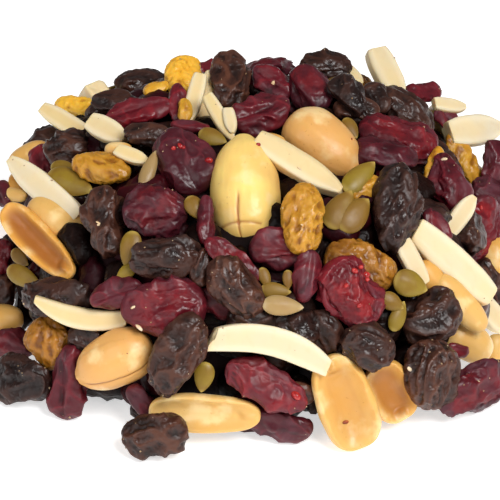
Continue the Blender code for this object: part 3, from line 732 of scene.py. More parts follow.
def chances(piece, count):
    """Random numbers from 0 to 1, the same for a piece each time."""
    return np.random.default_rng(piece.number).random(count)


def set_down(piece, form, tones):
    """One piece in its place: the form's shape is stretched to fill the piece's size, bowed
    sideways, turned by its axes and moved, and lifted if it would go underground. Its marks also hold
    a painted shade that grows with how deep in the heap each point lies, more on the fruit below the
    gaps, and the piece's tone, which is random where none is given."""
    length, width, thick = piece.size
    step = GRID_STEPS[piece.layer]
    around = int(pi * (width + thick) / 2 / step)
    along = int(pi * sqrt((length**2 + width**2) / 8) / step)
    s, a, faces = ball_grid(max(around, 12), max(along, 8))
    x, y, z, marks = form(s, a, piece)
    shape = np.stack([x, y, z], axis=-1)
    low, high = shape.min(axis=0), shape.max(axis=0)
    shape = (shape * 2 - low - high) / (high - low)
    local = shape * piece.size / 2
    local[:, 1] -= piece.bend * (1 - 2 * shape[:, 0] ** 2)
    points = local @ np.array(piece.axes) + piece.middle
    points -= TO_VIEWER * SET_BACK.get(piece.spot, 0.0)
    points[:, 2] += max(0, FOOT_GAP - points[:, 2].min())
    marks["own"] = np.full(len(s), tones.get(piece.spot, chances(piece, 9)[8]))
    # Painted shade: the colour darkens deeper inside the heap's outline, and the fruit below the gaps
    # starts darker.
    painted_shade = BELOW_PAINTED_SHADE * (piece.layer == "below")
    marks["deep"] = np.clip((PAINTED_SHADE_FROM - mound_level(points, 0)) / PAINTED_SHADE_OVER + painted_shade, 0, 1)
    return points, faces, marks


def laid_out(kind, layers, form, tones):
    """A kind's pieces of these layers as one mesh's points, triangles and marks."""
    parts = [set_down(piece, form, tones) for piece in chosen(kind, *layers)]
    starts = np.cumsum([0] + [len(points) for points, _, _ in parts])
    points = np.concatenate([points for points, _, _ in parts])
    faces = np.concatenate([faces + start for (_, faces, _), start in zip(parts, starts)])
    marks = {name: np.concatenate([marks[name] for _, _, marks in parts]) for name in parts[0][2]}
    return points, faces, marks


def on_skin(s, a, piece, stretch):
    """Where a point of the plain ball lies in millimetres, shortened lengthwise so that what is read
    there comes out drawn along the piece, wavered, and moved to a place of the piece's own."""
    ring = np.sqrt(1 - s**2)
    length, width, thick = piece.size / 2
    place = np.stack([s * length * stretch, ring * np.cos(a) * width, ring * np.sin(a) * thick], axis=-1)
    place += chances(piece, 3) * 90
    return place + rumple(place / 4.0, 11.0)[:, None] * np.array([0.6, 1.5, -1.2])


def pressed_flat(s, a, piece, count, nearest, softness):
    """How far out a ball still reaches when random flats are pressed into it: each flat is a plane
    at its own distance from the middle, and the nearest of them wins, with a soft edge between."""
    rng = np.random.default_rng(9000 + piece.number)
    ways = rng.normal(size=(count, 3))
    ways /= np.linalg.norm(ways, axis=-1, keepdims=True)
    far = rng.uniform(nearest, 1.05, count)
    ring = np.sqrt(1 - s**2)
    out = np.stack([s, ring * np.cos(a), ring * np.sin(a)], axis=-1)
    reach = far / np.maximum(out @ ways.T, 0.05)
    return 1 - softness * np.log1p(np.exp((1 - reach) / softness).sum(axis=-1))


def crests(place, spacing, seed, blunt=0.09):
    """1 along the lines where a random height passes nought, falling to 0 in the hollows between
    them: one less the height's size, with the very top rounded off."""
    height = rumple(place / spacing, seed)
    return np.clip(1 + blunt / 0.5 - np.sqrt(height**2 + blunt**2) / 0.5, 0, 1)


def smooth_step(values):
    """0 below nought, 1 above one, and the curve 3t^2 - 2t^3 between."""
    t = np.clip(values, 0, 1)
    return t * t * (3 - 2 * t)


def egg(s, power):
    """How wide an egg is along its length: one less the length's power, and the same root of it. A
    higher power is squarer."""
    return (1 - abs(s) ** power) ** (1 / power)


def lumpy(s, a, *waves):
    """1 with slow waves round it, each a sine with its number of lumps, their height, where it starts
    and how it twists along the piece."""
    girth = 1
    for count, height, start, twist in waves:
        girth = girth + height * np.sin(count * a + start + twist * s)
    return girth


def raisin_form(s, a, piece):
    """An egg with flats and slow lumps, drawn into ridges along wandering lines, with finer
    wrinkles in the hollows between them."""
    one, two, three = chances(piece, 3) * 2 * pi
    lumps = lumpy(s, a, (2, 0.10, one, 1.6), (3, 0.07, two, -2.2), (5, 0.04, three, 0.0))
    place = on_skin(s, a, piece, 0.5)
    ridge = crests(place, RAISIN_RIDGE_SPACING, 1.0) ** 1.8
    wrinkle = crests(place * np.array([1.5, 1, 1]), RAISIN_WRINKLE_SPACING, 2.0)
    swell = rumple(place / 3.6, 5.0)
    pressed = pressed_flat(s, a, piece, 7, 0.68, 0.07)
    relief = 0.82 + RAISIN_RIDGE * ridge + RAISIN_WRINKLE * wrinkle * (1 - 0.6 * ridge) + 0.12 * swell
    girth = egg(s, 2.3) * lumps * relief * pressed
    ends = 0.92 + 0.08 * ridge
    # The hollows' mark carries painted shade, and the ridges' mark a painted glow of light through the
    # skin.
    dip = 1 - smooth_step(0.75 * ridge + 0.4 * wrinkle)
    marks = {"dip": dip, "edge": ridge**3}
    return s * (0.5 + 0.5 * pressed) * ends, girth * np.cos(a), girth * np.sin(a), marks


def toned(tree, dull, bright):
    """A colour between two others, by each piece's own tone."""
    return blended(tree, mark_value(tree, "own"), dull, bright)


def marked(tree, skin, colour, name, low, high, most):
    """The skin turning to another colour as one of the mesh's marks goes from low to high."""
    share = ranged(tree, mark_value(tree, name), low, high, 0.0, most)
    return blended(tree, share, skin, colour)


def coloured(tree, shader, skin, painted_shade, most, shine):
    """Gives the shader its colour, which fades to a colour of painted shade deeper in the heap, and its
    shine."""
    # Painted shade: deeper in the heap the colour turns to the given dark colour.
    feed(tree, shader.inputs["Base Color"], marked(tree, skin, painted_shade, "deep", 0.0, 1.0, most))
    shader.inputs["Specular IOR Level"].default_value = shine


def worn(tree, shader, size, glossy, dull, spread=0.2):
    """A roughness that goes from glossy to dull in clouds of a size in millimetres, with harder
    edges for a smaller spread."""
    wear = ranged(tree, mottle(tree, size), 0.5 - spread, 0.5 + spread, glossy, dull)
    feed(tree, shader.inputs["Roughness"], wear)


def wrinkled(tree, shader, size, depth, strength):
    """A net of fine ridges, of a size and depth in millimetres."""
    roughened(tree, shader, mottle(tree, size, 4.0, kind="RIDGED_MULTIFRACTAL"), depth, strength)


def raisin_finish(name, shine):
    """Dark brown skin, half glossy, with fine wrinkles, and with painted light and shade: warmer on the
    ridges, as the light that comes through the skin, and black in the hollows, as shade."""
    material, tree, shader = new_finish(name)
    skin = toned(tree, (0.019, 0.008, 0.0065), (0.067, 0.023, 0.014))
    skin = clouded(tree, skin, (0.046, 0.015, 0.009), 4.0, 0.4, 0.62)
    # Painted light: the ridges warmer, as light through the thin skin.
    thin = toned(tree, (0.060, 0.024, 0.017), (0.15, 0.052, 0.027))
    skin = marked(tree, skin, thin, "edge", 0.35, 1.0, 0.5)
    # Painted shade: black in the hollows.
    skin = marked(tree, skin, (0.008, 0.0035, 0.003), "dip", 0.2, 1.0, 0.85)
    coloured(tree, shader, skin, (0.004, 0.0016, 0.0013), 0.92, shine)
    worn(tree, shader, 1.5, 0.27, 0.5)
    wrinkled(tree, shader, 0.45, 0.3, 0.9)
    return material


raisin_skin = raisin_finish("Dark raisin skin", 0.34)
buried_raisin_skin = raisin_finish("Buried raisin skin", BURIED_SHINE)
raisin_shape = laid_out("raisin", ("seen",), raisin_form, RAISIN_BROWN)
raisins = new_piece("raisins", *raisin_shape, raisin_skin)
raisin_back = laid_out("raisin", ("unseen",), raisin_form, RAISIN_BROWN)
raisins_behind = new_piece("raisins_behind", *raisin_back, raisin_skin)
raisin_filling = laid_out("raisin", ("below",), raisin_form, RAISIN_BROWN)
raisins_below = new_piece("raisins_below", *raisin_filling, buried_raisin_skin)


# Dried cranberries: cut berries, pressed and sugared, so the skin is drawn into few big folds with
# thin raised edges. The red of light shining through those edges is painted on, as is the shade in
# the folds, and a grey bloom dulls some of the skins. Where the cut side is out, the wet flesh shows.

# The folds', wrinkles' and creases' spacing and height, as for the dark raisins.
CRANBERRY_RIDGE_SPACING = 3.1
CRANBERRY_RIDGE = 0.22
CRANBERRY_WRINKLE_SPACING = 1.25
CRANBERRY_WRINKLE = 0.12
CRANBERRY_CREASE_SPACING = 0.7
CRANBERRY_CREASE = 0.05

# How bright a red a cranberry is, from 0 for purple black to 1, by its place in the view.
CRANBERRY_RED = {
    (-11.0, 14.5): 0.15, (-15.8, 6.3): 0.0, (2.0, 22.5): 0.55, (-18.7, 23.0): 0.9, (-12.2, 24.5): 1.0,
    (24.8, 18.7): 0.72, (16.7, -7.2): 0.95, (37.3, -23.3): 0.0, (2.8, -22.5): 0.8, (-14.2, -9.8): 0.5,
    (10.2, 26.8): 0.1, (3.5, 27.7): 0.65, (27.7, 25.8): 0.6, (32.8, 21.3): 0.75, (33.2, 11.3): 0.5,
    (38.0, 3.0): 0.75, (-30.2, -22.5): 0.35, (-22.3, -7.2): 0.4, (4.2, -29.0): 0.1, (-2.7, -1.7): 0.7,
    (9.3, -4.3): 0.5, (-18.0, -25.0): 0.15, (41.0, 14.2): 0.2, (40.3, 9.7): 0.2, (-39.7, -15.8): 0.5,
    (-34.8, 14.8): 0.8, (34.7, -16.8): 0.7, (31.2, 4.0): 0.3, (5.0, 0.0): 0.3, (-10.0, 20.7): 0.7,
}

# Cranberries that show their cut side, and how wide open it is.
CUT_SIDE_OUT = {
    (16.7, -7.2): 0.8, (37.3, -23.3): 0.4, (38.0, 3.0): 0.7, (-2.7, -1.7): 0.6, (2.8, -22.5): 0.35,
}

# Plump cranberries, and how much of the wrinkling they keep.
PLUMP = {(-11.0, 14.5): 0.35, (10.2, 26.8): 0.6, (-14.2, -9.8): 0.6}


def groove(height, width):
    """1 where the height is nought, falling off to 0 beside it as e to the power of minus the square
    of height over width."""
    return np.exp(-((height / width) ** 2))


def cranberry_form(s, a, piece):
    """A lumpy cornered egg, raised along wandering lines into thin folds with finer ridges across.
    A cut side is let in like a dish and is lumpy with flesh."""
    one, two, wander, lean = chances(piece, 4)
    lumps = lumpy(s, a, (2, 0.12, 2 * pi * one, 1.2), (3, 0.08, 2 * pi * two, -1.8))
    place = on_skin(s, a, piece, 0.7)
    ridge = crests(place, CRANBERRY_RIDGE_SPACING, 21.0, 0.05)
    wrinkle = crests(place * np.array([0.7, 1, 1]), CRANBERRY_WRINKLE_SPACING, 22.0, 0.05)
    crease = crests(place * np.array([0.8, 1, 1]), CRANBERRY_CREASE_SPACING, 23.0)
    pressed = pressed_flat(s, a, piece, 9, 0.64, 0.03)
    open_wide = CUT_SIDE_OUT.get(piece.spot, 0.35 * (lean > 0.75))
    facing = np.sin(a) * np.sqrt(1 - s**2)
    flesh = open_wide * smooth_step((facing - 0.45 - 0.25 * rumple(place / 3.0, 24.0)) / 0.2)
    fallen = PLUMP.get(piece.spot, 1.0)
    relief = CRANBERRY_RIDGE * ridge**2 + CRANBERRY_WRINKLE * wrinkle + CRANBERRY_CREASE * crease
    relief = 0.86 + fallen * relief + 0.12 * (1 - fallen)
    girth = egg(s, 2.2) * (relief + 0.13 * rumple(place / 4.0, 25.0)) * pressed
    dish = 0.4 * flesh * (1 - 0.35 * crests(place, 1.1, 27.0))
    fold = 0.3 * groove(np.cos(a) - 0.5 * (wander - 0.5), 0.28) * np.clip(facing, 0, 1) * (1 - open_wide)
    # The folds' mark carries painted shade, and the edges' mark a painted glow of light through the thin
    # skin.
    dip = (1 - smooth_step(0.6 * ridge + 0.5 * wrinkle + 0.15 * crease)) * (1 - flesh) * fallen
    marks = {"dip": dip, "edge": ridge**5, "flesh": np.clip(flesh, 0, 1)}
    up = girth * (lumps * np.sin(a) - fold - dish)
    return s * (0.5 + 0.5 * pressed), girth * lumps * np.cos(a), up, marks


def lit_through(shader, weight, radius, depth):
    """Lets light through the skin: how much of it, and how deep red, green and blue light go, beside
    the depth in millimetres."""
    shader.inputs["Subsurface Weight"].default_value = weight
    shader.inputs["Subsurface Radius"].default_value = radius
    shader.inputs["Subsurface Scale"].default_value = depth * MM


def cranberry_finish(name, shine):
    """Burgundy skin, with painted shade nearly black in the folds and a painted bright red glow of
    light along the thin edges, under patches of a dull purple bloom, with wet scarlet flesh on a cut
    side."""
    material, tree, shader = new_finish(name)
    skin = toned(tree, (0.044, 0.006, 0.011), (0.165, 0.009, 0.016))
    patch = toned(tree, (0.075, 0.007, 0.013), (0.095, 0.006, 0.011))
    skin = clouded(tree, skin, patch, 4.0, 0.42, 0.6, 0.6)
    skin = clouded(tree, skin, (0.12, 0.034, 0.048), 2.6, 0.48, 0.68, 0.5, 5.0)
    # Painted light: a bright red glow along the thin edges.
    thin = toned(tree, (0.11, 0.014, 0.023), (0.27, 0.016, 0.023))
    skin = marked(tree, skin, thin, "edge", 0.35, 1.0, 0.6)
    # Painted shade: nearly black in the folds.
    skin = marked(tree, skin, (0.02, 0.002, 0.004), "dip", 0.2, 1.0, 0.7)
    wet = clouded(tree, (0.10, 0.004, 0.008), (0.27, 0.011, 0.013), 1.4, 0.42, 0.62)
    skin = blended(tree, mark_value(tree, "flesh"), skin, wet)
    coloured(tree, shader, skin, (0.011, 0.001, 0.002), 0.9, shine)
    worn(tree, shader, 2.5, 0.3, 0.55, 0.15)
    lit_through(shader, 0.08, (1.0, 0.15, 0.12), 1.2)
    wrinkled(tree, shader, 0.55, 0.22, 0.8)
    return material


cranberry_skin = cranberry_finish("Dried cranberry skin", 0.33)
buried_cranberry_skin = cranberry_finish("Buried cranberry skin", BURIED_SHINE)
cranberry_shape = laid_out("cranberry", ("seen",), cranberry_form, CRANBERRY_RED)
cranberries = new_piece("cranberries", *cranberry_shape, cranberry_skin)
cranberry_back = laid_out("cranberry", ("unseen",), cranberry_form, CRANBERRY_RED)
cranberries_behind = new_piece("cranberries_behind", *cranberry_back, cranberry_skin)
cranberry_filling = laid_out("cranberry", ("below",), cranberry_form, CRANBERRY_RED)
cranberries_below = new_piece("cranberries_below", *cranberry_filling, buried_cranberry_skin)


# Golden raisins: pale grapes dried out of the sun. The skin is thin and lets light through; its
# amber glow on the ridges is painted on, and so is the brown shade in the creases.

# The ridges' and wrinkles' spacing in millimetres.
GOLDEN_RIDGE_SPACING = 1.8
GOLDEN_WRINKLE_SPACING = 0.75

# How yellow a golden raisin is, from 0 for brown ochre to 1, by its place in the view.
GOLDEN_YELLOW = {
    (-11.2, 28.7): 1.0, (-15.7, 27.0): 0.8, (-29.3, 23.8): 1.0, (-10.8, 23.3): 0.6, (-24.8, 13.8): 0.38,
    (35.8, 15.0): 0.45, (30.5, 13.5): 0.6, (19.3, 10.3): 0.4, (8.7, 5.2): 0.35, (-33.2, -15.3): 0.1,
    (18.3, -2.7): 0.12,
}


def golden_form(s, a, piece):
    """As a dark raisin, plumper, with softer ridges and a fine net of wrinkles."""
    one, two = chances(piece, 2) * 2 * pi
    lumps = lumpy(s, a, (2, 0.09, one, 1.6), (3, 0.06, two, -2.2))
    place = on_skin(s, a, piece, 0.7)
    ridge = crests(place, GOLDEN_RIDGE_SPACING, 31.0, 0.14)
    wrinkle = crests(place * np.array([0.8, 1, 1]), GOLDEN_WRINKLE_SPACING, 32.0, 0.09)
    pressed = pressed_flat(s, a, piece, 7, 0.72, 0.05)
    relief = 0.84 + 0.16 * ridge + 0.14 * wrinkle + 0.09 * rumple(place / 3.4, 35.0)
    girth = egg(s, 2.4) * lumps * relief * pressed
    # The creases' mark carries painted shade, and the ridges' mark a painted glow of light through the
    # skin.
    dip = 1 - smooth_step(0.8 * ridge + 0.45 * wrinkle)
    return s, girth * np.cos(a), girth * np.sin(a), {"dip": dip, "edge": (ridge * wrinkle) ** 2}


def golden_finish():
    """Amber, with a painted honey-yellow glow on the ridges, painted brown shade in the creases and a
    wet shine.
    """
    material, tree, shader = new_finish("Golden raisin skin")
    skin = toned(tree, (0.24, 0.078, 0.008), (0.86, 0.42, 0.025))
    patch = toned(tree, (0.36, 0.125, 0.010), (0.92, 0.54, 0.045))
    skin = clouded(tree, skin, patch, 3.0, 0.38, 0.62, 0.7)
    # Painted light: a honey-yellow glow on the ridges.
    thin = toned(tree, (0.5, 0.2, 0.03), (0.95, 0.58, 0.09))
    skin = marked(tree, skin, thin, "edge", 0.1, 0.8, 0.4)
    # Painted shade: brown in the creases.
    low = toned(tree, (0.10, 0.026, 0.002), (0.42, 0.14, 0.006))
    skin = marked(tree, skin, low, "dip", 0.1, 0.9, 0.85)
    coloured(tree, shader, skin, (0.10, 0.03, 0.003), 0.75, 0.4)
    worn(tree, shader, 1.5, 0.28, 0.46)
    lit_through(shader, 0.15, (1.0, 0.45, 0.08), 0.8)
    wrinkled(tree, shader, 0.6, 0.4, 1.0)
    return material


golden_shape = laid_out("golden", ("seen", "unseen"), golden_form, GOLDEN_YELLOW)
golden_raisins = new_piece("golden_raisins", *golden_shape, golden_finish())


# Whole peanuts: blanched kernels, roasted in oil. Each is two halves still together, with the seam
# between them showing as a crease or a step, and the germ's nib at the head.

# Where the seam faces, in degrees round the kernel, and how far it runs from the tail, of 1 for the
# whole length, by the kernel's place in the view. The others show it on top, all the way.
PEANUT_SEAMS = {(-0.8, 10.0): (80.0, 0.46), (12.2, 17.5): (262.0, 1.0), (-22.7, -18.3): (48.0, 1.0)}

# How roasted a nut is, from 0 for pale gold to 1, by its place in the view.
NUT_ROAST = {
    (-0.8, 10.0): 0.0, (12.2, 17.5): 0.9, (-22.7, -18.3): 0.9, (-35.0, 1.3): 1.0, (-29.7, 3.2): 0.3,
    (-7.5, -27.0): 0.1, (15.7, -25.2): 0.35, (23.0, -23.5): 0.7, (36.7, -15.3): 0.4, (35.3, -8.9): 0.35,
    (30.6, -5.0): 0.7, (-42.3, -12.3): 0.3, (-22.0, 16.8): 0.5, (3.7, 18.0): 0.6, (-37.0, 15.3): 0.55,
    (41.3, -16.8): 0.1, (-39.5, 9.2): 0.4,
}


def fibres(s, a, piece):
    """Random heights drawn out into long faint lines along a nut."""
    return rumple(np.stack([s * 1.2, np.cos(a) * 7, np.sin(a) * 7], axis=-1) + piece.number, 43.0)


def peanut_form(s, a, piece):
    """An egg a little narrower at the head, where a small nib stands, with a crease along the seam
    in a wide shallow dent. Where the seam runs all the way, one half stands a step above the other
    and two lobes flank the nib. Elsewhere a short crease crosses the seam near the tail."""
    turn, run = PEANUT_SEAMS.get(piece.spot, (80.0, 1.0))
    beside = np.angle(np.exp(1j * (a - radians(turn) - 0.16 * s)))
    part = smooth_step((2 * run - 1 - s) / 0.3)
    crease = groove(beside, 0.045 + 0.05 * np.clip(s - 0.3, 0, 1)) * part
    dent = groove(beside, 0.5) * np.clip(1 - s**2, 0, 1) * (0.4 + 0.6 * part)
    cap = groove(s + 0.8 - 0.08 * np.cos(beside), 0.025) * (abs(beside) < 0.9) * (run < 1)
    place = on_skin(s, a, piece, 1.0)
    lines = fibres(s, a, piece)
    bumps = 0.03 * rumple(place / 4.2, 41.0) + 0.006 * rumple(place / 1.1, 42.0) + 0.006 * lines
    step = 0.035 * np.tanh(beside / 0.06) * (abs(beside) < 1.5) * (run == 1) * np.clip(1 - s**2, 0, 1)
    relief = 1 - 0.07 * crease - 0.055 * dent - 0.035 * cap + bumps + step
    girth = egg(s, 2.3) * (1 - 0.09 * s) * relief
    girth += 0.05 * groove(abs(beside) - 0.55, 0.3) * groove(1 - s, 0.22) * (run == 1)
    nib = 0.07 * groove(1 - s, 0.045)
    # Painted shade goes into the crease along the seam and the short crease at the tail.
    marks = {"dip": np.clip(crease + 0.7 * cap, 0, 1), "edge": smooth_step(lines + 0.4)}
    return s + nib, girth * np.cos(a), girth * np.sin(a), marks


def nut_finish(name, pale, roasted, low):
    """Oily roasted nut flesh: pale gold with browner and paler clouds, fine flecks and lines, and
    brown in what is let in: painted shade in a whole peanut's creases, and in a half's hollow partly
    painted shade, partly its browner roast."""
    material, tree, shader = new_finish(name)
    skin = toned(tree, pale, roasted)
    skin = clouded(tree, skin, roasted, 5.0, 0.4, 0.7, 0.55, 2.0)
    skin = clouded(tree, skin, (0.95, 0.74, 0.38), 2.2, 0.5, 0.68, 0.6, 4.0)
    skin = clouded(tree, skin, low, 0.32, 0.68, 0.76, 0.3, 2.0)
    lines = ranged(tree, mark_value(tree, "edge"), 0.0, 1.0, 0.04, 0.0)
    skin = blended(tree, lines, skin, low)
    # Painted shade: brown in the creases and hollows.
    skin = marked(tree, skin, low, "dip", 0.0, 1.0, 1.0)
    coloured(tree, shader, skin, (0.45, 0.17, 0.03), 0.5, 0.4)
    worn(tree, shader, 2.0, 0.28, 0.46)
    lit_through(shader, 0.14, (1.0, 0.55, 0.2), 1.0)
    roughened(tree, shader, mottle(tree, 0.5, 4.0), 0.1, 0.5)
    return material


peanut_skin = nut_finish("Roasted peanut", (1.0, 0.72, 0.21), (0.74, 0.37, 0.11), (0.34, 0.11, 0.02))
peanut_shape = laid_out("peanut", ("seen", "unseen"), peanut_form, NUT_ROAST)
peanuts = new_piece("peanuts", *peanut_shape, peanut_skin)


# Peanut halves: kernels that split as they roasted. The inside is a shallow boat with a smooth
# rim, where the other half fitted, and the outside is round.

# How deep the hollow is, of half the thickness.
HALF_HOLLOW = 0.6

# Halves, by their place, that lie with the round side out.
ROUND_SIDE_OUT = {
    (-22.0, 16.8), (3.7, 18.0), (-29.7, 3.2), (30.6, -5.0), (35.3, -8.9), (41.3, -16.8),
    (36.7, -15.3), (-42.3, -12.3), (-37.0, 15.3), (-39.5, 9.2),
}


def half_form(s, a, piece):
    """Half an egg with its flat side up: the rim rounds over from the outside, and a long hollow
    with the germ's knob at its head is let in between. Some are turned over."""
    over, rise = np.cos(a), np.sin(a)
    place = on_skin(s, a, piece, 1.0)
    outline = egg(s, 2.6) * (1 - 0.08 * s) * (1 + 0.04 * rumple(place / 4.0, 51.0))
    aside = over + 0.06 * rumple(place / 3.0, 54.0)
    inside = np.clip(1 - (aside / 0.8) ** 2, 0, 1) ** 0.9 * np.clip(1 - (s / 0.94) ** 4, 0, 1) ** 0.8
    roast = NUT_ROAST.get(piece.spot, 0.5)
    round_out = piece.spot in ROUND_SIDE_OUT
    hollow = HALF_HOLLOW * inside * (not round_out)
    knob = 0.34 * groove(s - 0.78, 0.13) * groove(over, 0.3) - 0.1 * groove(s - 0.6, 0.06)
    knob = knob * groove(over, 0.4) * (not round_out)
    flat = 0.46 * (1 - abs(over) ** 9) ** 0.5 + 0.02 * rumple(place / 1.5, 52.0)
    up = rise > 0
    outside = outline * rise * (1 + 0.02 * rumple(place / 1.8, 53.0))
    z = np.where(up, outline * (flat - hollow + knob), outside)
    # The hollow's brown is partly painted shade and partly roast colour, so it is stronger on the more
    # roasted halves.
    dip = np.where(up, np.clip(inside * 1.4 - 0.1, 0, 1), 0) * (0.06 + 0.94 * roast)
    flip = -1.0 if round_out else 1.0
    marks = {"dip": dip, "edge": smooth_step(fibres(s, a, piece) + 0.4)}
    return s, outline * over * flip, z * flip, marks


half_skin = nut_finish("Split peanut", (0.75, 0.49, 0.17), (0.76, 0.37, 0.065), (0.36, 0.12, 0.018))
half_shape = laid_out("half", ("seen", "unseen"), half_form, NUT_ROAST)
peanut_halves = new_piece("peanut_halves", *half_shape, half_skin)


# Almond slivers: blanched almonds cut lengthwise into sticks. The cut faces are flat and dry, the
# edges are crisp, one end is cut square, and the other tapers where the kernel's tip was.

# Where the cut ends begin, of half the length.
ALMOND_END = 0.9

# How yellow a sliver is, from 0 for ivory to 1, by its place in the view.
ALMOND_YELLOW = {
    (8.3, 14.0): 0.8, (-28.3, -10.5): 0.9, (3.3, -16.2): 0.3, (-34.2, 10.0): 0.05, (33.7, -2.3): 0.35,
    (26.8, -1.6): 0.35, (40.0, -11.3): 0.6, (37.2, 19.8): 0.1, (22.7, 29.5): 0.5, (33.2, 24.0): 0.4,
}

# Slivers with both ends cut square, one with a chipped end, and those whose tail is the narrow end.
BLUNT = {(3.3, -16.2), (33.7, -2.3), (26.8, -1.6), (22.7, 29.5), (-30.3, 21.0)}
NOTCHED = {(3.3, -16.2)}
NARROW_TAIL = {(-34.2, 10.0), (-30.3, 21.0), (-28.3, -10.5)}


def almond_form(s, a, piece):
    """A stick whose section is a square with one or two corners planed off: the nearest of its
    sides' planes sets how far out it reaches. It narrows slowly to the head, and its cut ends are
    slanted and flat."""
    slant, plane, wide, bow = chances(piece, 4)
    corner = 45 + 90 * int(4 * plane)
    sides = np.radians([0, 90, 180, 270, corner, corner + 180 + 20 * wide])
    apart = np.array([1.0, 1.0, 1.0, 1.0, 1.08 + 0.12 * wide, 1.2 + 0.3 * slant])
    leaning = np.maximum(np.cos(a[:, None] - sides), 0) / apart
    reach = (leaning**22).sum(axis=-1) ** (-1 / 22)
    along = np.clip(s / ALMOND_END, -1, 1)
    closing = np.sqrt(np.clip((1 - abs(s)) / (1 - ALMOND_END), 0, 1))
    blunt = piece.spot in BLUNT
    ahead = -along if piece.spot in NARROW_TAIL else along
    tip, sweep = (0.4, 3.0) if blunt else (0.68, 2.4)
    taper = 1 - tip * np.clip(ahead, 0, 1) ** sweep - 0.25 * np.clip(-ahead, 0, 1) ** 3
    place = on_skin(s, a, piece, 0.5)
    wave = 1 + 0.05 * rumple(place / 3.0, 61.0) + 0.012 * rumple(place / 0.9, 62.0)
    x = reach * np.cos(a) * taper * closing * wave
    y = reach * np.sin(a) * (0.75 + 0.25 * taper) * closing * wave
    chipped = 0.03 * rumple(place / 1.3, 63.0) * (abs(along) > 0.98)
    if piece.spot in NOTCHED:
        chipped += 0.07 * rumple(place / 1.6, 64.0) * (along < -0.98)
    length = along + 0.1 * (slant - 0.5) * x + 0.07 * (wide - 0.5) * y + chipped
    bowed = y - 0.25 * (bow - 0.3) * along**2
    dip = smooth_step((abs(along) - 0.9) / 0.1) * 0.5
    return length, x, bowed, {"dip": dip, "edge": np.clip((reach - 1.02) * 4, 0, 1)}


def almond_finish():
    """Ivory nut flesh with fine upright fibres, a yellower cast in clouds, paler edges and darker
    cut ends."""
    material, tree, shader = new_finish("Blanched almond")
    skin = toned(tree, (0.73, 0.635, 0.465), (0.76, 0.57, 0.26))
    skin = clouded(tree, skin, (0.82, 0.63, 0.32), 5.0, 0.42, 0.66, 0.6, 2.0)
    skin = clouded(tree, skin, (0.7, 0.5, 0.24), 0.7, 0.5, 0.75, 0.25, 3.0, (1.0, 1.0, 0.3))
    skin = marked(tree, skin, (0.88, 0.78, 0.58), "edge", 0.0, 1.0, 0.5)
    skin = blended(tree, mark_value(tree, "dip"), skin, (0.84, 0.62, 0.3))
    coloured(tree, shader, skin, (0.5, 0.27, 0.09), 0.55, 0.35)
    worn(tree, shader, 2.0, 0.42, 0.58)
    lit_through(shader, 0.25, (1.0, 0.7, 0.4), 1.4)
    roughened(tree, shader, mottle(tree, 0.5, 3.0), 0.08, 0.5)
    return material


almond_shape = laid_out("almond", ("seen", "unseen"), almond_form, ALMOND_YELLOW)
almonds = new_piece("almond_slivers", *almond_shape, almond_finish())


# Pumpkin seeds: hulled, so the thin green inner skin shows, flat and full in the middle, with a
# thin edge and a point at the head.

# How brown a seed is, from 0 for green to 1, by its place in the view.
SEED_BROWN = {
    (26.8, -5.7): 0.0, (-30.0, 11.2): 0.1, (15.0, 6.8): 0.6, (17.3, 6.0): 0.8, (18.3, 12.2): 0.0,
    (23.7, -8.7): 0.2, (24.7, -11.0): 0.1, (-7.7, -21.2): 0.1, (4.3, -6.8): 0.6, (5.5, -9.3): 0.3,
    (-16.8, 13.5): 0.6,
}


def seed_form(s, a, piece):
    """A flat pointed oval like a lens, thick down the middle and thin at the edge, with slow waves
    in its faces and one faint rib."""
    outline = ((1 + s) ** 0.5 * (1 - s) ** 0.8) / 1.06
    rise = np.sin(a)
    place = on_skin(s, a, piece, 0.6)
    rib = 0.06 * groove(np.cos(a) - 0.1, 0.12)
    wave = 1 + 0.12 * rumple(place / 2.2, 71.0) + 0.03 * rumple(place / 0.8, 72.0) + rib
    rim = np.clip(1 - abs(rise) * 2.2, 0, 1)
    z = outline * np.sign(rise) * abs(rise) ** 1.25 * wave
    return s, outline * np.cos(a), z, {"dip": rim, "edge": np.clip((abs(s) - 0.7) / 0.3, 0, 1)}


def seed_finish(name, fresh, browned, rim):
    """A satin seed skin, clouded, and paler along its edge and at its ends."""
    material, tree, shader = new_finish(name)
    skin = clouded(tree, toned(tree, fresh, browned), browned, 2.4, 0.4, 0.64, 0.7, 4.0)
    skin = marked(tree, skin, rim, "dip", 0.2, 1.0, 0.55)
    skin = marked(tree, skin, rim, "edge", 0.0, 1.0, 0.6)
    coloured(tree, shader, skin, (0.05, 0.025, 0.004), 0.8, 0.36)
    worn(tree, shader, 1.5, 0.36, 0.56)
    lit_through(shader, 0.12, (0.8, 0.8, 0.2), 1.0)
    roughened(tree, shader, mottle(tree, 0.6, 3.0), 0.1, 0.5)
    return material


pumpkin_skin = seed_finish(
    "Pumpkin seed skin", fresh=(0.27, 0.18, 0.014), browned=(0.20, 0.095, 0.012), rim=(0.60, 0.43, 0.1))
pumpkin_shape = laid_out("pepita", ("seen", "unseen"), seed_form, SEED_BROWN)
pumpkin_seeds = new_piece("pumpkin_seeds", *pumpkin_shape, pumpkin_skin)


# Pale kernels: a few small cream seeds among the green ones, flat and pointed like them, without
# the green skin. They lie loose on the fruit.

kernel_skin = seed_finish(
    "Pale kernel", fresh=(0.42, 0.29, 0.12), browned=(0.34, 0.20, 0.07), rim=(0.66, 0.52, 0.3))
kernel_shape = laid_out("seed", ("seen",), seed_form, SEED_BROWN)
pale_kernels = new_piece("pale_kernels", *kernel_shape, kernel_skin)


# Small things on the skins: the cranberries' own seeds and red beads of flesh, flakes of the red
# skin that peanuts lose, and crumbs of nut and sugar that rubbed off in the bag and stick to the fruit.

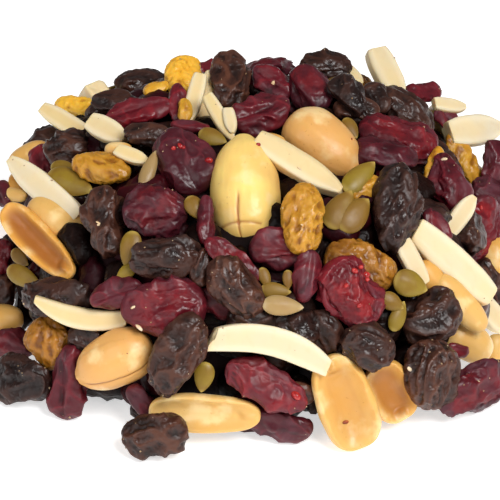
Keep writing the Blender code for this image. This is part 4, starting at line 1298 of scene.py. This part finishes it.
# Each one's place in the view and its size, all in millimetres.
BERRY_SEEDS = [
    (4.0, 28.0, 1.2), (-19.8, -9.7, 1.2), (-18.7, -13.8, 1.3), (32.3, 15.5, 1.1), (27.0, -19.7, 1.6),
    (-25.5, 4.6, 0.9), (-25.7, 4.7, 0.7), (8.0, 14.0, 0.8), (8.6, 4.7, 0.8),
]
FLESH_BEADS = [
    (-11.8, 17.7, 1.0), (-12.6, 17.2, 0.8), (-11.2, 17.3, 0.7), (-6.8, 15.3, 1.2), (1.3, 17.7, 1.1),
    (0.9, 17.2, 0.8), (17.3, -3.3, 1.1), (19.7, -3.8, 1.3), (18.7, -3.0, 0.9), (20.0, -5.0, 1.0),
    (16.2, -5.8, 0.9), (18.7, -9.2, 1.0), (7.7, -24.7, 1.9), (38.6, 7.2, 0.9), (38.0, 4.3, 0.9),
    (46.0, -27.0, 1.2),
]
SKIN_FLAKES = [(16.3, -28.5, 1.5), (17.3, 18.7, 0.5), (-21.0, -17.3, 0.35)]

# How many crumbs there are, their least and most size, and how far out on the heap they lie. Then
# the points round and along a crumb, and one of the larger things.
CRUMBS = 460
CRUMB_SIZE = (0.12, 0.38)
CRUMB_DEPTH = 2.5
CRUMB_GRID = (6, 4)
BEAD_GRID = (14, 10)


def where_seen(points, across, up):
    """The first of these points that a line of sight through a place in the view meets: the nearest
    to the eye of those that lie almost as close to the line as the closest."""
    ray = unit(VIEW_RIGHT * across + VIEW_UP * up - TO_VIEWER * VIEW_DISTANCE)
    from_eye = points - EYE
    far = from_eye @ ray
    aside = np.linalg.norm(from_eye - far[:, None] * ray, axis=-1)
    near = np.where(aside < aside.min() + 0.4, far, np.inf)
    return points[near.argmin()]


def grains(places, sizes, flatness, grid, seed):
    """A little uneven egg at each place, turned at random."""
    s, a, faces = ball_grid(*grid)
    ring = np.sqrt(1 - s**2)
    ball = np.stack([s, ring * np.cos(a) * flatness, ring * np.sin(a) * flatness], axis=-1)
    rng = np.random.default_rng(seed)
    turns = np.linalg.qr(rng.normal(size=(len(places), 3, 3)))[0]
    uneven = 1 + 0.25 * rng.normal(size=(len(places), 1, 3)).clip(-1, 1)
    balls = ball[None] * uneven * np.asarray(sizes)[:, None, None] / 2
    points = balls @ turns + np.asarray(places)[:, None]
    points[..., 2] = np.maximum(points[..., 2], FOOT_GAP)
    shift = (np.arange(len(places)) * len(s))[:, None, None]
    return points.reshape(-1, 3), (faces[None] + shift).reshape(-1, 3), {}


def stuck_on(skins, things, flatness, seed):
    """Small things stuck to the skins, each where it is seen and of its own size."""
    places = [where_seen(skins, across, up) for across, up, _ in things]
    return grains(places, [size for _, _, size in things], flatness, BEAD_GRID, seed)


def plain_finish(name, colour, other, roughness):
    """A finely clouded finish between two colours."""
    material, tree, shader = new_finish(name)
    feed(tree, shader.inputs["Base Color"], clouded(tree, colour, other, 0.8, 0.4, 0.6))
    shader.inputs["Roughness"].default_value = roughness
    roughened(tree, shader, mottle(tree, 0.3), 0.05, 0.5)
    return material


fruit_points = np.concatenate([raisin_shape[0], cranberry_shape[0], golden_shape[0], almond_shape[0]])
nut_points = np.concatenate([peanut_shape[0], half_shape[0]])
berry_finish = plain_finish("Cranberry seed", (0.72, 0.5, 0.27), (0.82, 0.66, 0.45), 0.5)
berry_seeds = new_piece("berry_seeds", *stuck_on(fruit_points, BERRY_SEEDS, 0.42, 81), berry_finish)

bead_finish = plain_finish("Cranberry flesh", (0.3, 0.01, 0.012), (0.5, 0.035, 0.03), 0.25)
flesh_beads = new_piece("flesh_beads", *stuck_on(fruit_points, FLESH_BEADS, 0.85, 82), bead_finish)

flake_finish = plain_finish("Peanut skin flake", (0.22, 0.04, 0.012), (0.36, 0.085, 0.025), 0.55)
skin_flakes = new_piece("skin_flakes", *stuck_on(nut_points, SKIN_FLAKES, 0.5, 85), flake_finish)

crumb_rng = np.random.default_rng(83)
all_fruit = np.concatenate([fruit_points, raisin_back[0], cranberry_back[0]])
open_fruit = all_fruit[mound_level(all_fruit, CRUMB_DEPTH) > 1]
crumb_places = open_fruit[crumb_rng.integers(len(open_fruit), size=CRUMBS)]
crumb_sizes = crumb_rng.uniform(*CRUMB_SIZE, CRUMBS) * crumb_rng.uniform(0.6, 1.2, CRUMBS)
crumb_finish = plain_finish("Nut and sugar crumb", (0.30, 0.18, 0.085), (0.52, 0.37, 0.22), 0.6)
crumbs = new_piece("crumbs", *grains(crumb_places, crumb_sizes, 0.8, CRUMB_GRID, 84), crumb_finish)


# The floor, the lights and the camera: a white table in a white room, with a broad soft light high on
# the right and a weaker one on the left, seen from in front and above.

# Half the table's side in metres, how much it glows by itself, and how bright the room is.
HALF_FLOOR = 1.5
FLOOR_GLOW = 0.58
ROOM_LIGHT = 0.18

floor_corners = [(x * HALF_FLOOR, y * HALF_FLOOR, 0) for x, y in ((-1, -1), (1, -1), (1, 1), (-1, 1))]
floor_mesh = bpy.data.meshes.new("floor")
floor_mesh.from_pydata(floor_corners, [], [(0, 1, 2, 3)])
floor = bpy.data.objects.new("floor", floor_mesh)
bpy.context.scene.collection.objects.link(floor)
floor_material, _, floor_shader = new_finish("White table")
floor_shader.inputs["Base Color"].default_value = (0.9, 0.9, 0.9, 1)
floor_shader.inputs["Roughness"].default_value = 0.7
floor_shader.inputs["Emission Color"].default_value = (1, 1, 1, 1)
floor_shader.inputs["Emission Strength"].default_value = FLOOR_GLOW
floor_mesh.materials.append(floor_material)


def soft_light(name, place, size, power):
    """A square panel of white light that faces the heap."""
    lamp = bpy.data.lights.new(name, "AREA")
    lamp.size = size
    lamp.energy = power
    panel = bpy.data.objects.new(name, lamp)
    panel.location = place
    panel.rotation_euler = Vector(place).to_track_quat("Z", "Y").to_euler()
    bpy.context.scene.collection.objects.link(panel)


soft_light("key light", (0.24, -0.36, 0.5), 0.28, 3.9)
soft_light("fill light", (-0.45, -0.45, 0.4), 0.5, 1.7)

room = bpy.data.worlds.new("White room")
room.use_nodes = True
room_shade = room.node_tree.nodes["Background"]
room_shade.inputs["Color"].default_value = (1, 1, 1, 1)
room_shade.inputs["Strength"].default_value = ROOM_LIGHT
bpy.context.scene.world = room
bpy.context.scene.view_settings.view_transform = "Standard"

# The sensor's width, and how wide a strip of the heap fills the view, both in millimetres.
SENSOR = 36.0
VIEW_WIDTH = 500 / 6.0
camera_data = bpy.data.cameras.new("camera")
camera_data.sensor_width = SENSOR
camera_data.lens = SENSOR * VIEW_DISTANCE / VIEW_WIDTH
camera_data.clip_start = 0.01
camera = bpy.data.objects.new("camera", camera_data)
camera.location = EYE * MM
camera.rotation_euler = Vector(TO_VIEWER).to_track_quat("Z", "Y").to_euler()
bpy.context.scene.collection.objects.link(camera)
bpy.context.scene.camera = camera
